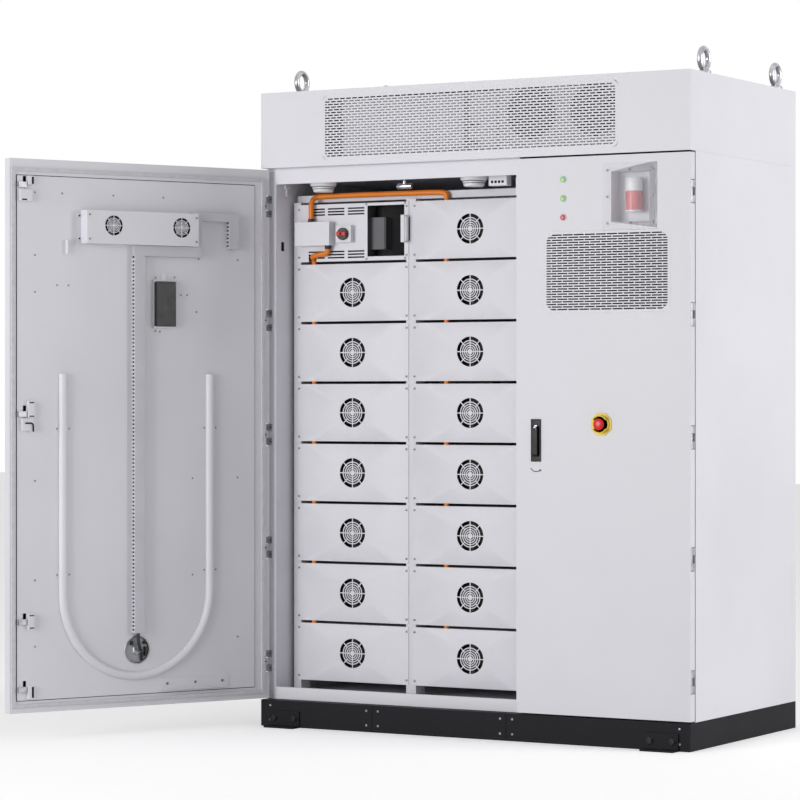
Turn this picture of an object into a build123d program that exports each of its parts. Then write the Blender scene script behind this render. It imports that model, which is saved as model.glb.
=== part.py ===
"""Outdoor battery energy storage cabinet: two columns of battery packs behind the left door, the power and
control compartment behind the right door, and a condenser unit in the roof header.

Millimetres. X runs to the right along the front, Y into the cabinet, Z up. The origin lies on the floor at the
centre of the cabinet's footprint. The left door stands open, as it is modelled, and the right door is shut.
"""
from build123d import *
from math import atan, cos, pi, radians, sin, tan
import os

os.makedirs("parts", exist_ok=True)

# Overall cabinet
WIDTH, DEPTH, HEIGHT = 1712.0, 908.0, 2300.0
PLINTH_H = 96.0
HEADER_Z = 2027.0              # underside of the roof header
WIDTH_RATIO = WIDTH / 1712.0   # places across the front are given at 1712 and follow the width
LEFT_EDGE = -WIDTH / 2

# Welded body
WALL = 37.0                    # side wall, with its insulation
BACK_WALL = 40.0
FRAME_SETBACK = 44.0           # front frame behind the doors' outer face
FRAME_LIP = 12.0               # thickness of the front frame's flanges
OPENING_Z = (140.0, 1970.0)
ROOM_Z = (120.0, 1990.0)       # floor and ceiling of both compartments
MULLION = 48.0                 # front flange between the two openings
PARTITION = 14.0

# Doors
DOOR_THICK = 40.0
DOOR_Z = (101.0, 2021.0)
DOOR_GAP = 4.0
MEETING_X = LEFT_EDGE + 1051.0 * WIDTH_RATIO    # centre of the gap between the doors
HINGE_INSET = 6.0                  # hinge axis from the cabinet's side
HINGE_DEPTH = 18.0                 # hinge axis behind the doors' outer face
LEFT_DOOR_OPEN = 116.0
BORDER_DROP = 3.0                  # the raised inner pan stands this far above its border
PAN_Z = (145.0, 1962.0)
PAN_HINGE_BORDER = 64.0
PAN_FREE_BORDER = 26.0
SEAL_W, SEAL_INSET = 12.0, 4.0
SEAL_GAP = 0.3

# Hinges
HINGE_ZS = (234.0, 648.0, 1059.0, 1474.0, 1889.0)
HINGE_H = 77.0
KNUCKLE_R, PIN_R, PIN_PLAY = 5.0, 3.0, 0.05
PIN_INSET = 5.0                    # pins end inside the outer knuckles
LEAF_T = 2.5
KNUCKLE_SPLIT = 25.0               # height of each outer knuckle
KNUCKLE_GAP = 0.5
HINGE_NOTCH_W, HINGE_NOTCH_GAP = 13.0, 2.0
DOOR_SKIN = 6.0                    # outer skin left in front of the hinge notches
FRAME_FLANGE_END, DOOR_FLANGE_END = 14.0, 15.0

# Locks: lever, spindle, pinion and rack bar
SPINDLE_FROM_EDGE = 75.0
SPINDLE_Z = 1090.0
SPINDLE_R, SPINDLE_PLAY = 8.0, 0.05
TRAY_W, TRAY_H, TRAY_T = 37.5, 147.0, 4.0
TRAY_Z = (972.0 + 1119.0) / 2
LEVER_W, LEVER_T, LEVER_REACH = 20.0, 9.0, 100.0
LEVER_GAP = 0.4
CROSS_PIN_R = 2.5
TANG_W = 9.0
MODULE_MM, PINION_TEETH, RACK_TEETH = 2.0, 12, 5
PITCH_R = MODULE_MM * PINION_TEETH / 2
TIP_HEIGHT, ROOT_DEPTH = 0.9 * MODULE_MM, 1.25 * MODULE_MM
PRESSURE, BACKLASH = radians(20), 0.35
LATCH_TRAVEL = PITCH_R * pi / 2    # a quarter turn of the handle
BAR_W, BAR_T = 12.0, 6.0
BAR_DEPTH = 19.0                   # centre of the bar behind the door's outer face
BAR_Z = (170.0, 1942.0)
TONGUE_ZS = (183.0, 417.0, 1136.0, 1930.0)
TONGUE_H, TONGUE_T = 20.0, 5.0
TONGUE_REACH = 8.0                 # how far a tongue stands above the inner pan
CLAW_FROM_EDGE = 28.0
LATCH_PLAY = 0.3

# Battery packs
PACK_FRONT = 142.0                 # the packs' front plates behind the doors' outer face
COLUMN_XS = (LEFT_EDGE + 302.5 * WIDTH_RATIO, LEFT_EDGE + 789.5 * WIDTH_RATIO)
COLUMN_GAP, EAR_W, PLATE_T = 17.0, 15.0, 3.0
PACK_W = COLUMN_XS[1] - COLUMN_XS[0] - COLUMN_GAP
PACK_BODY_W = PACK_W - 2 * EAR_W
PACK_H, PACK_BODY_H = 209.0, 203.0
REAR_AIR_GAP = 83.0                # between the packs' cases and the back wall
PACK_BODY_D = DEPTH - BACK_WALL - REAR_AIR_GAP - PACK_FRONT - PLATE_T
ROW_PITCH, FIRST_ROW_Z = 218.4, 265.0
ROWS = 8
PACK_FAN_R, PACK_FAN_ROOM = 55.0, 30.0
GUARD_SIDES = 8
PACK_GUARD_HUB, DOOR_GUARD_HUB = 20.0, 12.0
SPOKE_W = 4.0

# Rack
POST_D, SIDE_POST_W, MID_POST_W = 64.0, 30.0, 40.0
SHELF_T, SHELF_GRIP = 3.0, 20.0
TOP_BEAM = (26.0, 40.0)            # height and depth


def front(depth=0.0):
    """Vertical plane that far behind the doors' outer face: its x is X, its y is Z, its normal faces out."""
    return Plane.XZ.offset(DEPTH / 2 - depth)


def keep(builder, label):
    """Names a finished sub-part and writes it."""
    builder.part.label = label
    export_step(builder.part, f"parts/{label}.step")


def middle(span):
    return (span[0] + span[1]) / 2


def length(span):
    return span[1] - span[0]


def row_z(row):
    return FIRST_ROW_Z + ROW_PITCH * row


class Door:
    """A door by its hinge axis: side is +1 where its free edge lies towards +X when it is shut."""

    def __init__(self, name, side, open_angle):
        self.name, self.side = name, side
        self.axis_x = -side * (WIDTH / 2 - HINGE_INSET)
        self.axis_y = -DEPTH / 2 + HINGE_DEPTH
        self.free_edge = side * (MEETING_X - self.axis_x) - DOOR_GAP / 2
        turn = radians(side * open_angle)
        self.x_dir = (cos(turn), -sin(turn), 0)
        self.out = (-sin(turn), -cos(turn), 0)

    def plane(self, depth=0.0):
        """Plane that far behind the door's outer face, wherever the door stands."""
        return Plane((self.axis_x, self.axis_y, 0), self.x_dir, self.out).offset(HINGE_DEPTH - depth)

    def x(self, distance):
        """A distance from the hinge axis towards the free edge, in the plane's own x."""
        return self.side * distance

    def level(self, distance, z, depth=0.0):
        """Horizontal plane at a place on the door, with its x along the door."""
        place = self.plane(depth).from_local_coords((self.x(distance), z, 0))
        return Plane(place, self.x_dir, (0, 0, 1))


LEFT = Door("left", 1, LEFT_DOOR_OPEN)
RIGHT = Door("right", -1, 0.0)
DOORS = (LEFT, RIGHT)


def across(x):
    """A distance across the front, which follows the cabinet's width."""
    return x * WIDTH_RATIO


def from_left(x):
    """X of a place measured from the cabinet's left side."""
    return LEFT_EDGE + across(x)


# Right door fittings, from the cabinet's left side
ESTOP_X, ESTOP_Z = from_left(1379.5), 1102.0
ESTOP_BODY_R, ESTOP_STEM_R, ESTOP_NECK_R, ESTOP_PLAY = 11.0, 8.0, 5.0, 0.05
ESTOP_HEAD_R, ESTOP_TRAVEL = 20.0, 4.0
LAMP_X, LAMP_ZS, LAMP_R = from_left(1233.0), (1813.0, 1878.0, 1943.5), 10.8
ALARM_X, ALARM_Z = from_left(1487.5), 1878.5
ALARM_W, ALARM_H, ALARM_ROOM = 143.0, 172.0, 62.0
ALARM_WALL = 2.5
WINDOW_W, WINDOW_H, WINDOW_T = 205.0, 230.0, 2.0
STROBE_R, STROBE_H, STROBE_DEPTH = 29.0, 118.0, 32.0
DOOR_GRILLE_X, DOOR_GRILLE_Z = from_left(1398.0), 1624.5
DOOR_GRILLE_W, DOOR_GRILLE_H, GRILLE_T = across(464.0), 265.0, 3.0
GRILLE_CORNER = 25.0

# Left door fittings: distance from the hinge axis, height
FAN_BOX_X, FAN_BOX_Z = (across(318.0), across(768.0)), (1732.0, 1849.0)
FAN_BOX_D, FAN_BOX_SHEET = 46.0, 2.5
DOOR_FAN_XS, DOOR_FAN_Z, DOOR_FAN_R = (across(388.0), across(662.0)), 1797.0, 36.0
DUCT_D = 25.0
MAIN_DUCT_X, MAIN_DUCT_Z = (across(526.0), across(566.0)), (361.0, 1694.0)
UNDER_DUCT_Z, SIDE_DUCT_X, SIDE_DUCT_TOP = (1694.0, 1731.5), (across(292.0), across(317.5)), 1855.0
UPPER_DUCT_Z, SHORT_DUCT_X, SHORT_DUCT_LOW = (1825.0, 1855.0), (across(139.0), across(179.0)), 1727.0
CABLE_HOLE_X, CABLE_HOLE_Z, CABLE_HOLE_R, CABLE_HOLE_D = across(544.0), 301.0, 51.0, 6.0
U_X, U_Z, U_R, U_TUBE_R, U_TOP = across(543.0), 506.0, across(296.0), 16.0, 1277.0
CONTROL_X, CONTROL_Z, CONTROL_D = (across(392.0), across(481.0)), (1440.0, 1612.0), 20.0
STAY_X, STAY_Z, STAY_T, STAY_LIP = (across(170.0), across(448.0)), (153.0, 196.0), 2.5, 16.0
BRACKET_X, BRACKET_Z = (across(826.0), across(828.5)), (1694.0, 1743.0)

# Roof header
GRILLE_X, GRILLE_Z = from_left(852.0), 2163.0
GRILLE_W, GRILLE_H = across(1164.0), 214.0
GRILLE_FRAME = 8.0
HEADER_BACK = 425.0                # solid rear part of the header behind its room
HEADER_ROOM = DEPTH - GRILLE_T - HEADER_BACK
CONDENSER_X = (GRILLE_X + GRILLE_W / 2 - across(469.0), GRILLE_X + GRILLE_W / 2)
HEADER_FAN_XS = (CONDENSER_X[1] - across(338.0), CONDENSER_X[1] - across(91.0))
HEADER_FAN_Z, HEADER_FAN_R = 2181.0, across(88.0)
HEADER_FAN_ROOM = 50.0

# Power and control equipment
HV_ROW = ROWS - 1
HV_Z = row_z(HV_ROW)
KNOB_X, KNOB_Z = from_left(277.0), 1787.0
SWITCH_W, SWITCH_H, SWITCH_D = 64.0, 60.0, 22.0
KNOB_R, KNOB_D, KNOB_SHAFT_R, KNOB_PLAY = 23.0, 20.0, 5.0, 0.05
COVER_X, COVER_Z, COVER_D = (from_left(80.0), from_left(226.0)), (1747.0, 1833.0), 37.0
CABLE_R = 9.5
CABLE_FRONT, CABLE_BEHIND = 125.0, 155.0       # cable centres in front of and behind the plates

# Floor anchors and lifting eyes
ANCHOR_X, ANCHOR_W, ANCHOR_H, ANCHOR_T, ANCHOR_FOOT = 752.0, 124.0, 60.0, 6.0, 50.0
ANCHOR_SLOT_L, ANCHOR_SLOT_R = 32.0, 8.0
EYE_X, EYE_FRONT, EYE_REAR = WIDTH / 2 - 45.0, 210.0, 80.0
EYE_R, EYE_BAR_R, EYE_FLANGE_R, EYE_FLANGE_H, EYE_TOP = 35.0, 10.0, 25.0, 14.0, 100.0
EYE_SIDES = 12


# The black steel plinth: a ring of deep sections with two cross members
BEAM_W = 70.0
with BuildPart() as base_plinth:
    with BuildSketch():
        Rectangle(WIDTH, DEPTH)
        bay = (WIDTH - 4 * BEAM_W) / 3
        with GridLocations(bay + BEAM_W, 0, 3, 1):
            Rectangle(bay, DEPTH - 2 * BEAM_W, mode=Mode.SUBTRACT)
    extrude(amount=PLINTH_H)
    # joints between the front cover plates
    with BuildSketch(front()):
        with Locations((from_left(469), PLINTH_H / 2), (from_left(1010), PLINTH_H / 2)):
            Rectangle(2, PLINTH_H)
    extrude(amount=-2, mode=Mode.SUBTRACT)
keep(base_plinth, "base_plinth")


# Four folded anchor brackets, front and back, each with one floor slot
with BuildPart() as anchor_brackets:
    with BuildSketch(Plane.YZ.offset(ANCHOR_X - ANCHOR_W / 2)):
        with BuildLine():
            Polyline((-DEPTH / 2, 0), (-DEPTH / 2, ANCHOR_H), (-DEPTH / 2 - ANCHOR_T, ANCHOR_H),
                     (-DEPTH / 2 - ANCHOR_T, ANCHOR_T), (-DEPTH / 2 - ANCHOR_FOOT, ANCHOR_T),
                     (-DEPTH / 2 - ANCHOR_FOOT, 0), close=True)
        make_face()
    extrude(amount=ANCHOR_W)
    with BuildSketch(Plane((ANCHOR_X, -DEPTH / 2 - (ANCHOR_FOOT + ANCHOR_T) / 2, 0))):
        SlotOverall(ANCHOR_SLOT_L, 2 * ANCHOR_SLOT_R)
    extrude(amount=ANCHOR_T, mode=Mode.SUBTRACT)
    with BuildSketch(front()):
        with Locations((ANCHOR_X, ANCHOR_H / 2 + 3)):
            with GridLocations(ANCHOR_W - 40, 0, 2, 1):
                Rectangle(9, 30)
    extrude(amount=ANCHOR_T, mode=Mode.SUBTRACT)
    mirror(about=Plane.YZ)
    mirror(about=Plane.XZ)
keep(anchor_brackets, "anchor_brackets")


# The welded body: two compartments behind a flanged front frame
OPENINGS = ((from_left(WALL), MEETING_X - MULLION / 2), (MEETING_X + MULLION / 2, WIDTH / 2 - WALL))
PARTITION_X = (MEETING_X - PARTITION / 2, MEETING_X + PARTITION / 2)
ROOMS = ((OPENINGS[0][0], PARTITION_X[0]), (PARTITION_X[1], OPENINGS[1][1]))
STRIKE_T, STRIKE_D, STRIKE_H = 2.0, 14.0, 60.0


def upright_rectangles(spans, heights):
    """Rectangles in a front plane, one for each span of X, over one span of heights."""
    for low, high in spans:
        with Locations(((low + high) / 2, middle(heights))):
            Rectangle(high - low, length(heights))


with BuildPart() as cabinet_body:
    with BuildSketch(front(FRAME_SETBACK)):
        upright_rectangles(((LEFT_EDGE, WIDTH / 2),), (PLINTH_H, HEADER_Z))
    extrude(amount=-(DEPTH - FRAME_SETBACK))
    with BuildSketch(front(FRAME_SETBACK + FRAME_LIP)):
        upright_rectangles(ROOMS, ROOM_Z)
    extrude(amount=-(DEPTH - FRAME_SETBACK - FRAME_LIP - BACK_WALL), mode=Mode.SUBTRACT)
    with BuildSketch(front(FRAME_SETBACK)):
        upright_rectangles(OPENINGS, OPENING_Z)
    extrude(amount=-FRAME_LIP, mode=Mode.SUBTRACT)
    # strikes for the latch claws, on both edges of the mullion
    with BuildSketch(front(FRAME_SETBACK)):
        for edge in (MEETING_X - MULLION / 2 - STRIKE_T / 2, MEETING_X + MULLION / 2 + STRIKE_T / 2):
            for z in TONGUE_ZS[1:]:
                with Locations((edge, z)):
                    Rectangle(STRIKE_T, STRIKE_H)
    extrude(amount=-STRIKE_D)
keep(cabinet_body, "cabinet_body")


# The roof header, flush with the doors, hollow behind its grille
with BuildPart() as roof_header:
    with BuildSketch(front()):
        upright_rectangles(((LEFT_EDGE, WIDTH / 2),), (HEADER_Z, HEIGHT))
    extrude(amount=-DEPTH)
    with BuildSketch(front()):
        with Locations((GRILLE_X, GRILLE_Z)):
            RectangleRounded(GRILLE_W + 2 * GRILLE_FRAME, GRILLE_H + 2 * GRILLE_FRAME, GRILLE_CORNER)
    extrude(amount=-GRILLE_T, mode=Mode.SUBTRACT)
    with BuildSketch(front(GRILLE_T)):
        with Locations((GRILLE_X, GRILLE_Z)):
            Rectangle(GRILLE_W, GRILLE_H)
    extrude(amount=-HEADER_ROOM, mode=Mode.SUBTRACT)
keep(roof_header, "roof_header")


def slotted_panel(label, x, z, width, height, columns, rows, slot):
    """A pressed grille panel that fills its recess, with rows of wide slots."""
    with BuildPart() as panel:
        with BuildSketch(front()):
            with Locations((x, z)):
                RectangleRounded(width + 2 * GRILLE_FRAME, height + 2 * GRILLE_FRAME, GRILLE_CORNER)
                with GridLocations(width / columns, height / rows, columns, rows):
                    Rectangle(width / columns - slot, height / rows - slot, mode=Mode.SUBTRACT)
        extrude(amount=-GRILLE_T)
    keep(panel, label)


slotted_panel("header_grille", GRILLE_X, GRILLE_Z, GRILLE_W, GRILLE_H, 5, 7, 9.0)
slotted_panel("right_door_grille", DOOR_GRILLE_X, DOOR_GRILLE_Z, DOOR_GRILLE_W, DOOR_GRILLE_H, 2, 7, 9.0)


# Four forged lifting eyes on the roof, their rings facing sideways
with BuildPart() as lifting_eye:
    ring_centre = (0, 0, EYE_TOP - EYE_R - EYE_BAR_R)
    with BuildSketch(Plane(ring_centre, (0, 1, 0), (1, 0, 0)).offset(-EYE_BAR_R)):
        RegularPolygon(EYE_R + EYE_BAR_R, EYE_SIDES, major_radius=False, rotation=180 / EYE_SIDES)
        RegularPolygon(EYE_R - EYE_BAR_R, EYE_SIDES, rotation=180 / EYE_SIDES, mode=Mode.SUBTRACT)
    extrude(amount=2 * EYE_BAR_R)
    chamfer(lifting_eye.edges().filter_by(Axis.X, reverse=True), EYE_BAR_R * 0.6)
    with BuildSketch():
        RegularPolygon(EYE_FLANGE_R, EYE_SIDES)
    extrude(amount=EYE_FLANGE_H)

with BuildPart() as lifting_eyes:
    for x in (-EYE_X, EYE_X):
        for y in (-DEPTH / 2 + EYE_FRONT, DEPTH / 2 - EYE_REAR):
            with Locations((x, y, HEIGHT)):
                add(lifting_eye.part)
keep(lifting_eyes, "lifting_eyes")


# The bolted rack: posts, a top beam and a pair of shelf angles under every pack
POST_FRONT = PACK_FRONT + PLATE_T
RACK_X = (COLUMN_XS[0] - PACK_BODY_W / 2 - 1, COLUMN_XS[1] + PACK_BODY_W / 2 + 1)
POSTS = ((RACK_X[0] - SIDE_POST_W, RACK_X[0]),
         (middle(COLUMN_XS) - MID_POST_W / 2, middle(COLUMN_XS) + MID_POST_W / 2),
         (RACK_X[1], RACK_X[1] + SIDE_POST_W))
RACK_TOP = row_z(ROWS - 1) + PACK_H / 2 + ROW_PITCH - PACK_H
REAR_POST = PACK_FRONT + PLATE_T + PACK_BODY_D - POST_D
SHELF_TOPS = [row_z(row) - PACK_BODY_H / 2 for row in range(ROWS)]

with BuildPart() as battery_rack:
    for depth in (POST_FRONT, REAR_POST):
        with BuildSketch(front(depth)):
            upright_rectangles(POSTS, (ROOM_Z[0], RACK_TOP))
        extrude(amount=-POST_D)
        with BuildSketch(front(depth + POST_D - TOP_BEAM[1])):
            upright_rectangles(((POSTS[0][0], POSTS[2][1]),), (RACK_TOP, RACK_TOP + TOP_BEAM[0]))
        extrude(amount=-TOP_BEAM[1])
    with BuildSketch(front(POST_FRONT + POST_D)):
        for low, high in POSTS:
            grip_low = low if low == POSTS[0][0] else low - SHELF_GRIP
            grip_high = high if high == POSTS[2][1] else high + SHELF_GRIP
            for top in SHELF_TOPS:
                upright_rectangles(((grip_low, grip_high),), (top - SHELF_T, top))
    extrude(amount=-(REAR_POST - POST_FRONT - POST_D))
keep(battery_rack, "battery_rack")


def guard_openings(plane_x, plane_z, hub_r, outer_r):
    """The openings of a fan guard: a ring parted by four spokes round a hub."""
    with Locations((plane_x, plane_z)):
        RegularPolygon(outer_r, GUARD_SIDES)
        RegularPolygon(hub_r, GUARD_SIDES, mode=Mode.SUBTRACT)
        Rectangle(2 * outer_r, SPOKE_W, mode=Mode.SUBTRACT)
        Rectangle(SPOKE_W, 2 * outer_r, mode=Mode.SUBTRACT)


def battery_packs(label, column_x, rows):
    """One column of packs: each a front plate with two ears and its guard, and the case behind it."""
    with BuildPart() as packs:
        with BuildSketch(front(PACK_FRONT)):
            for row in rows:
                with Locations((column_x, row_z(row))):
                    Rectangle(PACK_W, PACK_H)
        extrude(amount=-PLATE_T)
        with BuildSketch(front(PACK_FRONT + PLATE_T)):
            for row in rows:
                with Locations((column_x, row_z(row))):
                    Rectangle(PACK_BODY_W, PACK_BODY_H)
                    RegularPolygon(PACK_FAN_R + 2, GUARD_SIDES, major_radius=False, mode=Mode.SUBTRACT)
        extrude(amount=-PACK_FAN_ROOM)
        with BuildSketch(front(PACK_FRONT + PLATE_T + PACK_FAN_ROOM)):
            for row in rows:
                with Locations((column_x, row_z(row))):
                    Rectangle(PACK_BODY_W, PACK_BODY_H)
        extrude(amount=-(PACK_BODY_D - PACK_FAN_ROOM))
        with BuildSketch(front(PACK_FRONT)):
            for row in rows:
                guard_openings(column_x, row_z(row), PACK_GUARD_HUB, PACK_FAN_R)
        extrude(amount=-PLATE_T, mode=Mode.SUBTRACT)
    keep(packs, label)


LEFT_ROWS, RIGHT_ROWS = range(ROWS - 1), range(ROWS)
battery_packs("battery_packs_left", COLUMN_XS[0], LEFT_ROWS)
battery_packs("battery_packs_right", COLUMN_XS[1], RIGHT_ROWS)


ROTOR_GAP, ROTOR_TIP_GAP = 0.5, 3.0
HUB_SHARE, BLADE_PITCH, BLADE_WIDENING, BLADE_T = 0.38, 30.0, 1.3, 2.0
SHAFT_R, SHAFT_FLATS, SHAFT_OUT = 3.0, 2.0, 1.5


def fan_rotor(label, plane, radius, thickness, blades=5):
    """An axial fan rotor in front of its plane: a hub on a flatted shaft, with blades that widen outwards."""
    hub_r = radius * HUB_SHARE
    root = 0.45 * 2 * pi * hub_r / blades
    tip = root * BLADE_WIDENING
    with BuildPart() as rotor:
        with BuildSketch(plane):
            RegularPolygon(hub_r, 2 * blades)
        extrude(amount=thickness)
        with BuildSketch(plane.offset(thickness)):
            Circle(SHAFT_R)
            Rectangle(2 * SHAFT_R, SHAFT_FLATS, mode=Mode.INTERSECT)
        extrude(amount=SHAFT_OUT)
        for blade in range(blades):
            radial = plane.x_dir.rotate(Axis((0, 0, 0), plane.z_dir), blade * 360 / blades)
            normal = plane.z_dir.rotate(Axis((0, 0, 0), radial), BLADE_PITCH)
            with BuildSketch(Plane(plane.offset(thickness / 2).origin, radial, normal)):
                with BuildLine():
                    Polyline((hub_r * 0.8, -root), (radius, -tip), (radius, tip), (hub_r * 0.8, root),
                             close=True)
                make_face()
            extrude(amount=BLADE_T / 2, both=True)
    keep(rotor, label)


pack_fan_depth = PACK_FRONT + PLATE_T + PACK_FAN_ROOM - ROTOR_GAP
for side_name, column_x, rows in (("left", COLUMN_XS[0], LEFT_ROWS), ("right", COLUMN_XS[1], RIGHT_ROWS)):
    for row in rows:
        seat = front(pack_fan_depth)
        place = Plane(seat.from_local_coords((column_x, row_z(row), 0)), seat.x_dir, seat.z_dir)
        fan_rotor(f"pack_fan_{side_name}_{row + 1}", place, PACK_FAN_R - ROTOR_TIP_GAP, 22.0)


# The high-voltage control box: vented front, dark window well, pull handle, switch body and cable cover
VENT_W, VENT_H = 70.0, 5.5
VENT_XS = (from_left(150.5), from_left(233.5), from_left(318.0))
VENT_ZS = (1703.0, 1714.0, 1725.0, 1860.0, 1870.5, 1881.0)
WELL_X, WELL_Z, WELL_D = (from_left(366.0), from_left(520.0)), (1704.0, 1888.0), 60.0
PULL_X, PULL_Z, PULL_W, PULL_D, PULL_T = from_left(529.0), (1751.0, 1849.0), 14.0, 30.0, 4.0
CABLE_NOTCH = (from_left(117.0), from_left(149.0))

with BuildPart() as hv_control_box:
    with BuildSketch(front(PACK_FRONT)):
        with Locations((COLUMN_XS[0], HV_Z)):
            Rectangle(PACK_W, PACK_H)
    extrude(amount=-PLATE_T)
    with BuildSketch(front(PACK_FRONT + PLATE_T)):
        with Locations((COLUMN_XS[0], HV_Z)):
            Rectangle(PACK_BODY_W, PACK_BODY_H)
    extrude(amount=-PACK_BODY_D)
    with BuildSketch(front(PACK_FRONT)):
        for x in VENT_XS:
            for z in VENT_ZS:
                with Locations((x, z)):
                    Rectangle(VENT_W, VENT_H)
    extrude(amount=-PLATE_T - 6, mode=Mode.SUBTRACT)
    with BuildSketch(front(PACK_FRONT)):
        upright_rectangles((WELL_X,), WELL_Z)
    extrude(amount=-WELL_D, mode=Mode.SUBTRACT)
    # room for the cable that drops behind the plates
    with BuildSketch(front(PACK_FRONT)):
        upright_rectangles((CABLE_NOTCH,), (HV_Z - PACK_H / 2, HV_Z - PACK_H / 2 + 25))
    extrude(amount=-(CABLE_BEHIND + CABLE_R + 3 - PACK_FRONT), mode=Mode.SUBTRACT)
    # module standing in the well
    with BuildSketch(front(PACK_FRONT + 25)):
        upright_rectangles(((WELL_X[0], WELL_X[0] + 63),), (WELL_Z[0] + 26, WELL_Z[1] - 42))
    extrude(amount=-(WELL_D - 25))
    # pull handle
    with BuildSketch(Plane.YZ.offset(PULL_X - PULL_W / 2)):
        with Locations((-DEPTH / 2 + PACK_FRONT - PULL_D / 2, middle(PULL_Z))):
            Rectangle(PULL_D, length(PULL_Z))
        with Locations((-DEPTH / 2 + PACK_FRONT - (PULL_D - PULL_T) / 2, middle(PULL_Z))):
            Rectangle(PULL_D - PULL_T, length(PULL_Z) - 2 * PULL_T, mode=Mode.SUBTRACT)
    extrude(amount=PULL_W)
    # switch body with the knob's shaft bore
    with BuildSketch(front(PACK_FRONT)):
        with Locations((KNOB_X, KNOB_Z)):
            Rectangle(SWITCH_W, SWITCH_H)
    extrude(amount=SWITCH_D)
    with BuildSketch(front(PACK_FRONT - SWITCH_D)):
        with Locations((KNOB_X, KNOB_Z)):
            Circle(KNOB_SHAFT_R + KNOB_PLAY)
    extrude(amount=-SWITCH_D, mode=Mode.SUBTRACT)
    # folded cover over the cable ends
    with BuildSketch(front(PACK_FRONT)):
        upright_rectangles((COVER_X,), COVER_Z)
    extrude(amount=COVER_D)
keep(hv_control_box, "hv_control_box")


# The rotary disconnect knob: a twelve-sided skirt with a raised grip, on its shaft
with BuildPart() as disconnect_knob:
    knob_back = PACK_FRONT - SWITCH_D - LEVER_GAP
    with BuildSketch(front(knob_back)):
        with Locations((KNOB_X, KNOB_Z)):
            RegularPolygon(KNOB_R, 12)
    extrude(amount=KNOB_D / 2)
    with BuildSketch(front(knob_back - KNOB_D / 2)) as grip:
        with Locations((KNOB_X, KNOB_Z)):
            Rectangle(2 * KNOB_R - 6, KNOB_R * 0.7)
        chamfer(grip.vertices(), 4)
    extrude(amount=KNOB_D / 2)
    with BuildSketch(front(knob_back)):
        with Locations((KNOB_X, KNOB_Z)):
            Circle(KNOB_SHAFT_R)
    extrude(amount=-(SWITCH_D - 4))
keep(disconnect_knob, "disconnect_knob")


# Orange power cables: two runs out of the cable cover, and the links between neighbouring packs
def cabinet_point(x, depth, z):
    return (from_left(x), -DEPTH / 2 + depth, z)


CABLE_TOP = RACK_TOP + 21.3
TOP_RUN = (cabinet_point(137, CABLE_FRONT, COVER_Z[1]), cabinet_point(137, CABLE_FRONT, CABLE_TOP - 24),
           cabinet_point(145, CABLE_BEHIND, CABLE_TOP), cabinet_point(687, CABLE_BEHIND, CABLE_TOP),
           cabinet_point(687, CABLE_BEHIND, row_z(ROWS - 1) + PACK_BODY_H / 2))
TOP_RADII = (26, 22, 26)
LOW_RUN = (cabinet_point(209, CABLE_FRONT, COVER_Z[0]), cabinet_point(209, CABLE_FRONT, COVER_Z[0] - 25),
           cabinet_point(137, CABLE_FRONT + 2, COVER_Z[0] - 39), cabinet_point(133, CABLE_BEHIND, COVER_Z[0] - 55),
           cabinet_point(133, CABLE_BEHIND, row_z(ROWS - 2) + PACK_BODY_H / 2))
LOW_RADII = (20, 18, 20)
LINKS = [(from_left(133), row) for row in range(ROWS - 2)] + [(from_left(687), row) for row in range(ROWS - 1)]

with BuildPart() as power_cables:
    for points, radii in ((TOP_RUN, TOP_RADII), (LOW_RUN, LOW_RADII)):
        with BuildLine() as route:
            FilletPolyline(*points, radius=radii)
        with BuildSketch(Plane(route.line @ 0, z_dir=route.line % 0)):
            RegularPolygon(CABLE_R, 8)
        sweep(path=route.line)
    for x, row in LINKS:
        link_low = row_z(row) + PACK_BODY_H / 2
        with BuildSketch(Plane((x, -DEPTH / 2 + CABLE_BEHIND, link_low))):
            RegularPolygon(CABLE_R, 8)
        extrude(amount=ROW_PITCH - PACK_BODY_H)
keep(power_cables, "power_cables")


# Under the battery room's ceiling: two smoke detectors, the gas nozzle and a junction box
DETECTOR_R, DETECTOR_H, DETECTOR_DEPTH, DETECTOR_SLOPE = 50.0, 50.0, 110.0, 24.0
with BuildPart() as bay_detectors:
    for x in (199.0, 823.0):
        with BuildSketch(Plane(cabinet_point(x, DETECTOR_DEPTH, ROOM_Z[1] - DETECTOR_H))):
            RegularPolygon(DETECTOR_R, 12)
        extrude(amount=DETECTOR_H)
    chamfer(bay_detectors.edges().group_by(Axis.Z)[0], DETECTOR_SLOPE)
    with BuildSketch(Plane(cabinet_point(540, DETECTOR_DEPTH, ROOM_Z[1] - 46))):
        RegularPolygon(8, 6)
    extrude(amount=46)
    with BuildSketch(Plane(cabinet_point(508, DETECTOR_DEPTH, ROOM_Z[1] - 40), (0, 1, 0), (1, 0, 0))):
        RegularPolygon(11, 6)
    extrude(amount=64)
    with BuildSketch(front(DETECTOR_DEPTH)):
        upright_rectangles(((from_left(881), from_left(955)),), (ROOM_Z[1] - 50, ROOM_Z[1]))
    extrude(amount=-34)
keep(bay_detectors, "bay_detectors")


# The condenser unit in the header: a case with two fan shrouds facing the grille
CONDENSER_FRONT = 30.0
with BuildPart() as condenser_unit:
    with BuildSketch(front(CONDENSER_FRONT)):
        upright_rectangles((CONDENSER_X,), (GRILLE_Z - GRILLE_H / 2, GRILLE_Z + GRILLE_H / 2))
    extrude(amount=-(GRILLE_T + HEADER_ROOM - CONDENSER_FRONT))
    with BuildSketch(front(CONDENSER_FRONT)):
        with Locations(*[(x, HEADER_FAN_Z) for x in HEADER_FAN_XS]):
            RegularPolygon(HEADER_FAN_R + 1, 16, major_radius=False)
    extrude(amount=-HEADER_FAN_ROOM, mode=Mode.SUBTRACT)
keep(condenser_unit, "condenser_unit")

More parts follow.
